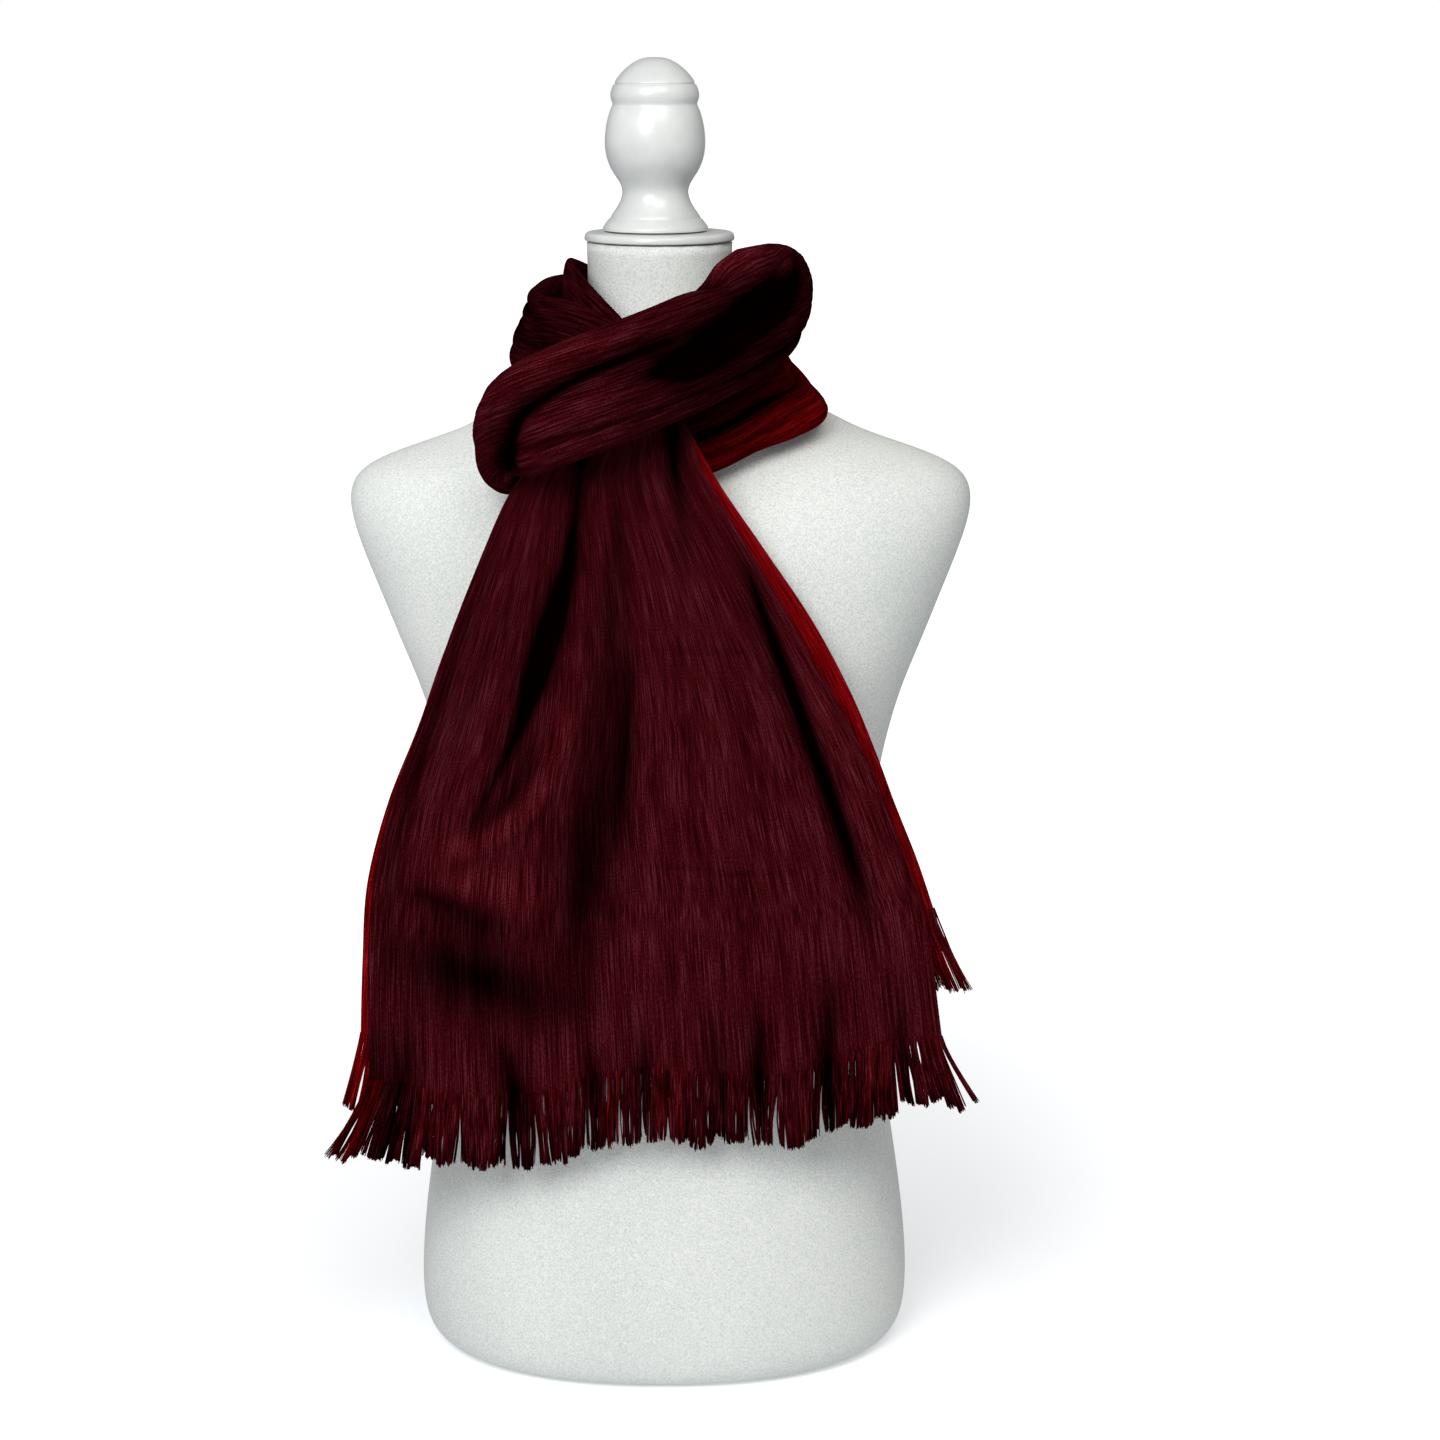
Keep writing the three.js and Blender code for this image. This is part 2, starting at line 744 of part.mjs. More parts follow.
// The hanging ends: the steps of each wall across and along, and the strands of its fringe
const TAILS = table(
  ["name", "rows", "folds", "swells", "flutes", "across", "along", "strands", "finish"],
  [
    ["front", FRONT_TAIL, FRONT_FOLDS, FRONT_SWELLS, FRONT_FLUTES, 30, 22, 76, CLOTH_FACE],
    ["rear", REAR_TAIL, REAR_FOLDS, NO_SWELLS, REAR_FLUTES, 16, 13, 52, CLOTH_REVERSE],
  ],
);

addPiece("form_torso", formBody(), JERSEY);
addPiece("neck_cap", neckCap(), PAINTED_WOOD);
addPiece("finial", turnedPiece(FINIAL_PROFILE, FINIAL_FOOT, FINIAL_OFF_CENTRE), PAINTED_WOOD);
for (const piece of STRETCHES) {
  addPiece(piece.name, strandStretch(piece), piece.finish);
}
for (const tail of TAILS) {
  const surface = tailSurface(tail.rows, tail.folds, tail.swells, tail.flutes);
  addPiece(`tail_${tail.name}`, clothWall(surface, tail.across, tail.along), tail.finish);
  addPiece(`fringe_${tail.name}`, fringeComb(surface, tail.strands), FRINGE_YARN);
}

export default scarfOnForm;
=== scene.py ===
# A long fringed scarf, folded in half and pulled through its own loop, round the neck of a small
# limbless dress form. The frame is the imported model's: metres, +Z up, -Y the front of the form.
# The cloth's own tables are in millimetres, as a maker would measure them on the form.
import math

import bpy
import numpy as np
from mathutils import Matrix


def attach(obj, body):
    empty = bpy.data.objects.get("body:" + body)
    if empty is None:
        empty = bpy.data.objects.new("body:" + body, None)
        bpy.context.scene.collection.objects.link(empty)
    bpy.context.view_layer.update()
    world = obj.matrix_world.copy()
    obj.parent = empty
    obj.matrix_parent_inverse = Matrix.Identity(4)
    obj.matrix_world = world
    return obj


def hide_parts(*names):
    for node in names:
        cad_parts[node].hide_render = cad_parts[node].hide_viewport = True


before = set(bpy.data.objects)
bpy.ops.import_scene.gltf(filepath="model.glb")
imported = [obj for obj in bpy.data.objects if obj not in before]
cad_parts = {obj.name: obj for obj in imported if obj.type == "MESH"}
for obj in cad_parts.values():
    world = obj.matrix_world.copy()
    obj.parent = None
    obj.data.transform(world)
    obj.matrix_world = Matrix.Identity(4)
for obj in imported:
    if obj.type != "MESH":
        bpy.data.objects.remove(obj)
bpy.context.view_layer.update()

MM = 0.001
CLOTH_THICKNESS = 1.5
CLOTH_WIDTH = 360
FRINGE_LENGTH = 45

# The bunched cloth follows oval sections, as the solids do. x, y, z is the middle of a section,
# wide and thick are its half sizes, core_x and core_y is the point that the band wraps round, and
# lean tips its outer face upwards, in degrees.
SECTION_COLUMNS = "x y z wide thick core_x core_y lean"
SECTION_POWER = 2.3
SECTION_CROWDING = 1.25
SLIT_HALF_ANGLE = 12
OUTER_BAND = [
    [-18, -105, 639, 20, 6, 0, 0, 0],
    [-28, -103, 652, 21, 6, 0, 0, 0],
    [-50, -91, 661, 24, 7, 0, 0, 0],
    [-71, -63, 661, 25, 8, 0, 0, 10],
    [-79, -29, 662, 25, 9.5, 0, 0, 14],
    [-78, 7, 662, 25, 10.5, 0, 0, 12],
    [-69.5, 41, 663, 26, 11, 0, 0, 8],
    [-47, 68, 663, 26, 12, 0, 0, 2],
    [-14, 85, 665, 25, 13, 0, 0, 0],
    [23, 86, 671, 25, 13.5, 0, 0, 0],
    [56, 68, 676, 25, 14.5, 0, 0, 0],
    [72, 38, 680, 25, 17, 0, 0, 0],
    [73, 6, 682, 26.5, 19.5, 0, 0, 0],
    [71, -24, 683, 28.5, 21, 0, 0, 0],
    [66, -58, 679, 31, 21, 0, 0, 0],
    [47, -93, 670, 32, 20, 0, 0, 0],
    [18, -120, 658, 32, 18.5, 0, 0, 0],
    [-12, -135, 647, 32, 18, 0, 0, 0],
    [-40, -141, 637, 32, 18, 0, -20, 0],
    [-66, -138, 626, 31, 16, -10, -50, 0],
    [-86, -124, 613, 29, 14.5, -20, -90, 0],
    [-93.5, -107, 602, 22, 12, -20, -105, 0],
    [-88, -93, 592, 18.5, 9.5, -25, -108, 0],
    [-78, -84, 589, 15, 8.5, -35, -112, 0],
]
INNER_BAND = [
    [-20, -91, 641, 19, 5, 0, 0, 0],
    [-29, -87, 655, 20, 5, 0, 0, 0],
    [-42, -73, 668, 21, 6, 0, 0, 0],
    [-51, -44, 677, 22, 5, 0, 0, 0],
    [-54, -15, 681, 22.5, 4.5, 0, 0, 0],
    [-52.5, 15, 678, 22.5, 5, 0, 0, 0],
    [-39.5, 40, 669, 22.5, 7, 0, 0, 0],
    [-15, 56, 663, 22, 9, 0, 0, 0],
    [17, 58, 657, 20.5, 9, 0, 0, 8],
    [47, 47, 643.5, 17.5, 10, 0, 0, 18],
    [68.5, 25, 637.5, 15, 9.5, 0, 0, 32],
    [73, 6, 637.5, 13.5, 7, 0, 0, 45],
    [81, -14, 629.5, 18, 7, 0, 0, 42],
    [83, -33, 624, 22.5, 7.5, 0, 0, 49],
    [69.5, -54, 620.5, 22.5, 9, 0, 0, 34],
    [51.5, -69.5, 613.5, 19.5, 10.5, 0, 0, 20],
    [28, -80, 603, 19, 11, 0, 0, 12],
    [-4, -83, 593, 19, 10.5, 0, 0, 6],
    [-40, -83, 588, 17, 10, -40, 0, 0],
    [-68, -82, 584, 14, 9, -70, 0, 0],
]

# Painted shade: how much darker the cloth's colour is made where it is bunched, standing for the
# light its gathers trap. Each pair is a place along the band, counted in its sections, and the
# shade there.
OUTER_BAND_SHADE = [
    [0, 0.65],
    [13.4, 0.66],
    [14.6, 0.72],
    [15.4, 0.64],
    [16.6, 0.53],
    [18, 0.39],
    [21, 0.38],
    [23, 0.55],
]
INNER_BAND_SHADE = [
    [0, 0.6],
    [9, 0.58],
    [12, 0.55],
    [13.4, 0.5],
    [14.4, 0.56],
    [16, 0.64],
    [19, 0.7],
]

# A fold this deep takes the full tint of its painted shade, which deepens with the fold
FULL_SHADE_BAND_FOLD = 11
FULL_SHADE_TAIL_FOLD = 8

# Fine gathers between the folds: their spacing, their length and the seed of their places
BAND_GATHERS = (8, 110, 3)
FINE_BAND_GATHERS = (3.1, 60, 8)
TAIL_GATHERS = (26, 260, 5)
FINE_TAIL_GATHERS = (11, 120, 9)

# They are weak on the left collars, the first sections of both bands
COLLAR_SECTIONS = [5.5, 9]
COLLAR_GATHER = [0.3, 1]

# The hanging ends, hem first: the two ends of a row, how far forward its middle hangs and how far
# its ends fall back from that
TAIL_COLUMNS = "left_x left_z right_x right_z forward fall_back"
FRONT_TAIL = [
    [-179, 209, 173, 241, 127, 13],
    [-177, 291, 162, 317, 127, 13],
    [-172, 341, 154, 340, 127, 13],
    [-160, 391, 134, 395, 127, 12],
    [-141, 440, 117, 432, 127, 11],
    [-124, 488, 94, 474, 125.5, 10],
    [-105, 535, 63, 528, 122, 8],
    [-86, 576, 29, 585, 115, 4],
    [-66, 600, 20, 610, 108.5, 0],
    [-48, 613, 8, 632, 106, 0],
    [-31, 626.5, -3.5, 648.5, 105, 0],
]
REAR_TAIL = [
    [-185, 236, 168, 318, 108.6, 10],
    [-182.5, 283, 157, 350, 108.6, 10],
    [-178, 334, 143, 385, 108.6, 9],
    [-164, 385, 131, 417, 108.5, 8],
    [-144, 434, 115, 455, 108.4, 7],
    [-126, 483, 92, 498, 107.5, 6],
    [-104, 531, 64, 540, 105.5, 4],
    [-76, 570, 38, 578, 102, 1],
    [-60, 598, 22, 606, 99, 0],
    [-46, 612, 8, 630, 95, 0],
    [-32, 629, -4.4, 648.6, 91, 0],
]

# A hem hangs in shallow waves: how deep they are and how many fit across it
HEM_DIP = 12
HEM_DIPS = 2.13

# The loose yarns: the least and most width of their clumps and of the locks in a clump, the radius
# of a yarn, how far its root reaches up into the hem, and its rings of points
CLUMP_WIDTHS = (6, 22)
LOCK_WIDTHS = (0.8, 2.4)
YARN_RADIUS = 0.38
YARN_OVERLAP = 2
YARN_RINGS = 7

# Folds listed one by one, each a run of points with the depth and the half width of the fold there.
# A fold with a minus depth is a ridge. On a band, row counts its sections and across runs from -1
# at its lower edge to 1 at its upper edge.
BAND_FOLD_COLUMNS = "row across depth width"
OUTER_BAND_FOLDS = {
    "hollow of the turn and the long crease": [
        [20.3, -1.15, 6, 8],
        [20.15, -0.9, 11, 8],
        [20, -0.65, 14, 8],
        [19.8, -0.37, 14, 7],
        [19.58, -0.18, 13, 6],
        [19.38, -0.02, 12, 5.5],
        [19.15, 0.09, 11, 5],
        [18.74, 0.16, 10, 5],
        [18.17, 0.25, 9.5, 5],
        [17.71, 0.3, 9, 5.5],
        [17.29, 0.31, 8, 6],
        [16.9, 0.34, 6, 7],
        [16.5, 0.37, 3, 8],
        [16.1, 0.4, 0, 8],
    ],
    # Deep enough for the painted shade to take its full tint, so it shows black
    "black trough under the shoulder of the loop": [
        [17.6, -0.1, 0, 6],
        [17.06, -0.06, 3, 8],
        [16.6, -0.09, 7, 9],
        [16.2, -0.12, 10, 10],
        [15.75, -0.04, 12, 10.5],
        [15.3, 0.05, 13, 10],
        [14.8, 0.13, 13, 9.5],
        [14.26, 0.22, 12, 8.5],
        [13.85, 0.36, 9, 7],
        [13.5, 0.54, 5, 6],
        [13.25, 0.75, 0, 6],
    ],
    "broad hollow over the trough": [
        [17.1, 0.18, 0, 12],
        [16.5, 0.24, 2.5, 13],
        [15.95, 0.26, 3.5, 14],
        [15.3, 0.29, 3.5, 13],
        [14.8, 0.3, 2, 12],
        [14.3, 0.4, 0, 10],
    ],
    "trough round the back of the neck": [
        [11.3, 0.28, 0, 8],
        [10.6, 0.28, 5, 8],
        [9.5, 0.2, 7, 8],
        [8, 0.24, 6, 7],
        [6.6, 0.3, 5, 7],
        [5.4, 0.3, 5, 6],
        [4, 0.22, 4, 6],
        [3, 0.1, 0, 6],
    ],
    "crease along the lower edge": [
        [20.2, -0.35, 0, 4],
        [19.2, -0.5, 2.5, 4],
        [18, -0.54, 4, 4.5],
        [16.6, -0.56, 3.5, 4.5],
        [15.4, -0.58, 4.5, 5],
        [14.2, -0.5, 4, 5],
        [13, -0.45, 2, 6],
        [12, -0.4, 3, 6],
        [10.6, -0.42, 5, 6],
        [9, -0.36, 4, 6],
        [7.6, -0.34, 5.5, 6],
        [6, -0.3, 4, 6],
        [4.6, -0.34, 3, 5],
        [3.4, -0.36, 0, 5],
    ],
    "shoulder of the loop": [
        [12.2, 0.98, 0, 14],
        [13.2, 1.0, -2, 14],
        [14, 1.02, -6, 13],
        [14.6, 1.02, -10, 12],
        [14.95, 1.0, -8, 9],
        [15.15, 0.95, 0, 7],
    ],
    "dip beside the shoulder": [
        [15.5, 1.2, 5, 6],
        [15.35, 0.95, 4, 6],
        [15.2, 0.7, 1, 7],
    ],
    "line down the shoulder": [
        [15.4, 0.42, 0, 4],
        [15.06, 0.44, 4, 4.5],
        [14.6, 0.52, 4.5, 4.5],
        [14.26, 0.63, 3.5, 4],
        [13.95, 0.74, 0, 4],
    ],
    "upper ridge": [
        [15.6, 0.78, 0, 7],
        [17, 0.7, -2, 8],
        [18.6, 0.62, -2.5, 8],
        [20, 0.42, -2, 7],
        [21.3, 0.2, -1.5, 6],
    ],
    "first line round the turn": [
        [19.0, 0.5, 0, 3],
        [19.47, 0.41, 1.2, 3],
        [19.74, 0.32, 1.8, 3],
        [20.05, -0.12, 1.8, 3],
        [20.2, -0.6, 1.4, 3],
        [20.4, -1.0, 0, 3],
    ],
    "second line round the turn": [
        [19.7, 0.7, 0, 3],
        [20.3, 0.5, 1.4, 3],
        [20.9, 0, 1.6, 3],
        [21.2, -0.6, 0, 3],
    ],
    "short crease in the lower lobe": [
        [18.8, -0.2, 0, 3],
        [18.2, -0.2, 1.6, 3.5],
        [17.6, -0.27, 2, 4],
        [17.0, -0.34, 0, 5],
    ],
    "crease over the left of the neck": [
        [2, 0.1, 0, 5],
        [2.8, 0.42, 3, 5],
        [3.8, 0.55, 4, 5],
        [5.2, 0.6, 3, 5],
        [7, 0.66, 2.5, 5],
        [8.6, 0.6, 0, 5],
    ],
    "low crease on the left": [
        [1.2, -0.3, 0, 5],
        [2.2, -0.15, 3.5, 5],
        [3.2, -0.12, 2.5, 5],
        [4.4, 0, 2, 5],
        [5.4, 0.02, 0, 5],
    ],
}
INNER_BAND_FOLDS = {
    # Its depth also paints shade on the cloth under the loop
    "hollow under the loop": [
        [11.5, 0.8, 0, 12],
        [13, 0.75, 2.5, 14],
        [14.5, 0.65, 3, 16],
        [16, 0.6, 3, 16],
        [17.5, 0.6, 0, 13],
    ],
    "long crease over the right shoulder": [
        [10.6, 0.2, 0, 5],
        [12, 0.12, 3, 5],
        [13.4, 0.1, 4.5, 5],
        [14.6, 0.14, 5, 5],
        [15.8, 0.1, 4, 5],
        [17, 0, 2, 6],
        [18, 0, 0, 6],
    ],
    "lower crease": [
        [12.4, -0.45, 0, 4],
        [13.6, -0.42, 2.5, 4],
        [15, -0.5, 3, 4.5],
        [16.4, -0.46, 2, 5],
        [17.6, -0.4, 0, 5],
    ],
    "crease round the back": [
        [4, 0.3, 0, 5],
        [6, 0.25, 2, 5],
        [8, 0.1, 3, 5],
        [9.6, 0.1, 2.5, 5],
        [11, 0.1, 0, 5],
    ],
    "crease up the left of the neck": [
        [0.6, -0.2, 0, 5],
        [2, -0.1, 2.5, 5],
        [3.4, -0.2, 2, 5],
        [5, -0.1, 0, 5],
    ],
}

TAIL_FOLD_COLUMNS = "z x depth width"
FRONT_TAIL_FOLDS = {
    "valley left of the middle": [
        [640, -43, 8, 7],
        [606, -43, 10, 7],
        [590, -45, 6, 6],
        [566, -47, 6, 5.5],
        [532, -52, 9.5, 7],
        [498, -62, 12.5, 9],
        [464, -73, 12.5, 8.5],
        [446, -79, 9, 7],
        [426, -87, 7, 5],
        [402, -98, 5, 4],
        [380, -109, 3.5, 4],
        [362, -117, 0, 5],
    ],
    "hollow where that valley opens": [
        [448, -68, 0, 9],
        [414, -76, 4, 9],
        [388, -89, 5.5, 9],
        [371, -106, 4, 8],
        [362, -122, 0, 8],
    ],
    "roll round that hollow": [
        [456, -54, 0, 6],
        [431, -57, -5, 6],
        [406, -63, -8, 6.5],
        [388, -74, -9, 7],
        [372, -93, -9, 7.5],
        [359, -118, -6, 8],
        [354, -138, 0, 8],
    ],
    "middle valley": [
        [600, -22, 0, 6],
        [560, -22, 3, 8],
        [520, -24, 3.5, 11],
        [467, -28, 4, 14],
        [414, -34, 4.5, 18],
        [378, -39, 5.5, 20],
        [342, -44, 6, 20],
        [310, -48, 4.5, 19],
        [276, -48, 2.5, 17],
        [240, -48, 0, 16],
    ],
    "short valley beside it": [
        [505, -12, 0, 4],
        [470, -16, 3, 5],
        [430, -18, 4, 5],
        [390, -22, 3, 6],
        [350, -24, 0, 6],
    ],
    "groove right of the knot's ridge": [
        [640, 8, 5, 6],
        [614, 9, 8, 7],
        [592, 10, 7, 6],
        [566, 14, 4, 7],
        [515, 24, 0, 8],
    ],
    "second groove by the knot": [
        [628, -12, 0.6, 4],
        [596, -12, 1.4, 4],
        [562, -8, 1.2, 5],
        [520, 0, 0, 6],
    ],
    "sharp fold down the right": [
        [545, 48, 0, 4],
        [520, 57, 7, 4],
        [489, 68, 10, 4.5],
        [458, 80, 11, 5],
        [425, 92, 11, 5],
        [392, 104, 10, 5.5],
        [360, 115, 8, 7],
        [331, 124, 5, 9],
        [290, 133, 0, 12],
    ],
    "panel beyond the sharp fold": [
        [520, 66, 0, 7],
        [458, 92, -2, 8],
        [392, 118, -2.5, 9],
        [331, 138, -2, 9],
        [280, 146, 0, 9],
    ],
    "fold along the left edge": [
        [566, -84, 0, 4],
        [520, -104, 3, 5],
        [470, -122, 4, 5],
        [420, -140, 4.5, 5],
        [370, -157, 4, 5],
        [310, -166, 2, 6],
        [260, -170, 0, 6],
    ],
    "crease on the left panel": [
        [560, -66, 0, 5],
        [510, -86, 2, 6],
        [460, -108, 2.5, 7],
        [420, -124, 1.5, 7],
        [380, -134, 0, 7],
    ],
    "hollow low on the left": [
        [302, -170, 0, 14],
        [290, -152, 3.5, 20],
        [285, -128, 5.8, 28],
        [278, -104, 6.3, 30],
        [268, -82, 5, 25],
        [261, -60, 3, 18],
        [262, -42, 0, 14],
    ],
    "fold that runs into that hollow": [
        [336, -164, 0, 6],
        [331, -146, 4, 8],
        [326, -124, 5, 10],
        [318, -106, 4, 13],
        [306, -96, 0, 15],
    ],
    # A shallow hollow whose depth paints shade on the left corner of the hem
    "dark corner on the left": [
        [252, -174, 0, 12],
        [232, -180, 3, 18],
        [205, -182, 5, 20],
    ],
    "lip over that hollow": [
        [345, -146, 0, 10],
        [336, -118, -3, 11],
        [334, -88, -3.5, 11],
        [328, -64, 0, 11],
    ],
    "upper storage crease": [
        [486, -14, 0, 2],
        [486, 4, 1.8, 1.6],
        [484, 22, 1.2, 1.6],
        [483, 44, 2.2, 1.6],
        [482, 66, 0, 2],
    ],
    "lower storage crease": [
        [354, -12, 0, 2],
        [353, 8, 2, 1.6],
        [350, 26, 1.2, 1.6],
        [347, 48, 2.2, 1.6],
        [347, 92, 0, 2],
    ],
    "line under it": [
        [341, -4, 0, 1.8],
        [338, 24, 1.6, 1.6],
        [334, 60, 0, 1.8],
    ],
    "first hem flute": [
        [262, -152, 0, 9],
        [226, -156, 4, 9],
        [198, -158, 5, 9],
    ],
    "second hem flute": [
        [246, -104, 0, 9],
        [226, -92, 5, 9],
        [200, -88, 8, 9],
    ],
    "third hem flute": [
        [244, -40, 0, 8],
        [220, -40, 5, 8],
        [194, -38, 8, 8],
    ],
    "fourth hem flute": [
        [262, -10, 0, 6],
        [230, -9, 4.5, 6],
        [200, -8, 7, 6.5],
    ],
    "fifth hem flute": [
        [270, 32, 0, 8],
        [242, 35, 3, 7],
        [210, 36, 5, 7],
    ],
    "sixth hem flute": [
        [272, 62, 0, 7],
        [246, 62, 4.5, 7],
        [214, 60, 7, 7],
    ],
    "seventh hem flute": [
        [300, 108, 0, 10],
        [258, 104, 4.5, 9],
        [216, 102, 7, 8],
    ],
    "eighth hem flute": [
        [286, 144, 0, 7],
        [256, 148, 3, 6],
        [226, 150, 5, 6],
    ],
}
REAR_TAIL_FOLDS = {
    "left swell": [
        [600, -30, -1.5, 6],
        [520, -52, -2.5, 12],
        [400, -88, -3, 20],
        [240, -110, -3.5, 26],
    ],
    "right swell": [
        [600, 8, -1.5, 6],
        [500, 26, -2.5, 12],
        [400, 54, -3, 20],
        [280, 70, -3.5, 24],
    ],
    "fold by the right edge": [
        [540, 56, 0, 5],
        [480, 88, 2.5, 5],
        [420, 116, 3, 6],
        [360, 136, 2, 7],
        [320, 150, 0, 7],
    ],
    "fold by the left edge": [
        [520, -98, 0, 5],
        [440, -130, 2, 6],
        [360, -160, 2, 6],
        [270, -170, 1, 7],
    ],
}


def table(columns, rows):
    """A short table as one array for each named column."""
    return dict(zip(columns.split(), np.array(rows, float).T))


def row_at(rows, place):
    """The columns of a table at places that count its rows, on a smooth curve through them."""
    last = len(next(iter(rows.values()))) - 1
    start = np.clip(np.floor(place).astype(int), 0, last - 1)
    part = place - start
    mixed = {}
    for name, column in rows.items():
        before = column[np.maximum(start - 1, 0)]
        here = column[start]
        there = column[start + 1]
        after = column[np.minimum(start + 2, last)]
        slope_here = (there - before) / 2
        slope_there = (after - here) / 2
        bend = 3 * (there - here) - 2 * slope_here - slope_there
        twist = slope_here + slope_there - 2 * (there - here)
        mixed[name] = here + part * (slope_here + part * (bend + part * twist))
    return mixed


def unit(vectors):
    """Each vector of an array at length 1."""
    return vectors / np.linalg.norm(vectors, axis=-1, keepdims=True)


def soft_noise(across, along, seed):
    """Smooth uneven values from -1 to 1, with about one swing for each unit either way."""
    left = np.floor(across)
    low = np.floor(along)
    right_part = across - left
    up_part = along - low
    right_part = right_part**2 * (3 - 2 * right_part)
    up_part = up_part**2 * (3 - 2 * up_part)

    def corner(right, up):
        wave = np.sin((left + right) * 127.1 + (low + up) * 311.7 + seed * 74.7) * 43758.5453
        return 2 * (wave - np.floor(wave)) - 1

    bottom = corner(0, 0) + right_part * (corner(1, 0) - corner(0, 0))
    top = corner(0, 1) + right_part * (corner(1, 1) - corner(0, 1))
    return bottom + up_part * (top - bottom)


def gathers(across, along, spacing, length, seed):
    """Fine gathers of bunched cloth, 0 in their narrow valleys and up to 1 on their round backs."""
    closer = 2.3
    shorter = 1.6
    steepness = 1.6
    valley_floor = 0.004
    swing = soft_noise(across / spacing, along / length, seed)
    swing = swing + 0.5 * soft_noise(closer * across / spacing, shorter * along / length, seed + 1)
    return np.minimum(steepness * np.sqrt(swing**2 + valley_floor), 1)


def fold_depth(folds, along, across):
    """How far folds sink the cloth at each point of a sheet. A fold is rows of along, across,
    depth and width, in millimetres. A narrow valley is a crease with rounded shoulders, a wide
    one is a soft hollow, and a ridge is round."""
    tightness = 1.25
    valley_floor = 0.3
    crease_width = 5
    hollow_width = 12
    total = np.zeros(np.broadcast(along, across).shape)
    for fold in folds:
        strongest = np.zeros_like(total)
        for here, there in zip(fold[:-1], fold[1:]):
            run = there[:2] - here[:2]
            from_here = (along - here[0]) * run[0] + (across - here[1]) * run[1]
            part = np.clip(from_here / run.dot(run), 0, 1)
            gap = np.hypot(along - here[0] - part * run[0], across - here[1] - part * run[1])
            depth = here[2] + part * (there[2] - here[2])
            width = here[3] + part * (there[3] - here[3])
            reach = gap / width
            crease = np.exp(-tightness * (np.sqrt(reach**2 + valley_floor**2) - valley_floor))
            hollow = np.exp(-(reach**2))
            soft = np.clip((width - crease_width) / (hollow_width - crease_width), 0, 1)
            sink = depth * np.where(depth > 0, crease + soft * (hollow - crease), hollow)
            strongest = np.where(np.abs(sink) > np.abs(strongest), sink, strongest)
        total += strongest
    return total


def grid_normals(grid):
    """The outward direction at each point of a grid whose columns run across and rows along."""
    return unit(np.cross(np.gradient(grid, axis=1), np.gradient(grid, axis=0)))


def new_piece(name, points, faces, flat, fold, finishes, finish_of_face):
    """A smooth mesh object with its cloth map in metres and its painted shade in a fold attribute."""
    mesh = bpy.data.meshes.new(name)
    mesh.from_pydata((points * MM).tolist(), [], faces.tolist())
    corners = np.empty(len(mesh.loops), np.int32)
    mesh.loops.foreach_get("vertex_index", corners)
    mesh.uv_layers.new(name="cloth").data.foreach_set("uv", (flat[corners] * MM).ravel())
    mesh.attributes.new("fold", "FLOAT", "POINT").data.foreach_set("value", fold)
    for finish in finishes:
        mesh.materials.append(finish)
    mesh.polygons.foreach_set("material_index", finish_of_face)
    mesh.polygons.foreach_set("use_smooth", np.ones(len(faces), bool))
    piece = bpy.data.objects.new(name, mesh)
    bpy.context.collection.objects.link(piece)
    return piece


def select_only(piece):
    """Leaves one object selected and active."""
    bpy.ops.object.select_all(action="DESELECT")
    piece.select_set(True)
    bpy.context.view_layer.objects.active = piece


def cloth_wall(name, middle, across, along, fold, finishes, turned_rows=0):
    """A closed sheet of cloth on both sides of a grid. across and along are the flat cloth's
    millimetres at each point, and the first finish is on its outer face, but for its first
    turned_rows, where the cloth shows its other side."""
    normal = grid_normals(middle)
    outer = middle + normal * CLOTH_THICKNESS / 2
    inner = middle - normal * CLOTH_THICKNESS / 2
    index = np.arange(middle[..., 0].size).reshape(middle.shape[:2])
    a = index[:-1, :-1]
    b = index[:-1, 1:]
    c = index[1:, 1:]
    d = index[1:, :-1]
    outer_faces = np.stack([a, b, c, d], -1).reshape(-1, 4)
    inner_faces = np.stack([a, d, c, b], -1).reshape(-1, 4) + index.size
    rim = np.concatenate([index[0, :-1], index[:-1, -1], index[-1, :0:-1], index[:0:-1, 0]])
    after = np.roll(rim, -1)
    rim_faces = np.stack([after, rim, rim + index.size, after + index.size], -1)
    flat = np.stack(np.broadcast_arrays(across, along), -1).reshape(-1, 2)
    outer_finish = np.zeros(a.shape, int)
    outer_finish[:turned_rows] = 1
    piece = new_piece(
        name,
        np.concatenate([outer.reshape(-1, 3), inner.reshape(-1, 3)]),
        np.concatenate([outer_faces, inner_faces, rim_faces]),
        np.concatenate([flat, flat]),
        np.concatenate([fold.ravel(), fold.ravel()]),
        finishes,
        np.concatenate([outer_finish.ravel(), 1 - outer_finish.ravel(), np.zeros(len(rim_faces), int)]),
    )
    select_only(piece)
    bpy.ops.object.shade_smooth_by_angle(angle=math.radians(60))
    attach(piece, "root")
    return piece


def band_frames(band, place):
    """The section sizes, middles, outward directions and upward directions along a band."""
    step = 0.01
    row = row_at(band, place)
    ahead = row_at(band, place + step)
    behind = row_at(band, place - step)
    middle = np.stack([row["x"], row["y"], row["z"]], -1)
    run = unit(np.stack([ahead[axis] - behind[axis] for axis in "xyz"], -1))
    out = np.stack([row["x"] - row["core_x"], row["y"] - row["core_y"], 0 * row["x"]], -1)
    out = unit(out - run * (out * run).sum(-1, keepdims=True))
    lean = np.radians(row["lean"])[..., None]
    outward = out * np.cos(lean) + np.cross(run, out) * np.sin(lean)
    return row, middle, outward, np.cross(run, outward)


def power_wave(wave):
    """One coordinate of a section, squarer than an ellipse."""
    return np.sign(wave) * np.abs(wave) ** (2 / SECTION_POWER)


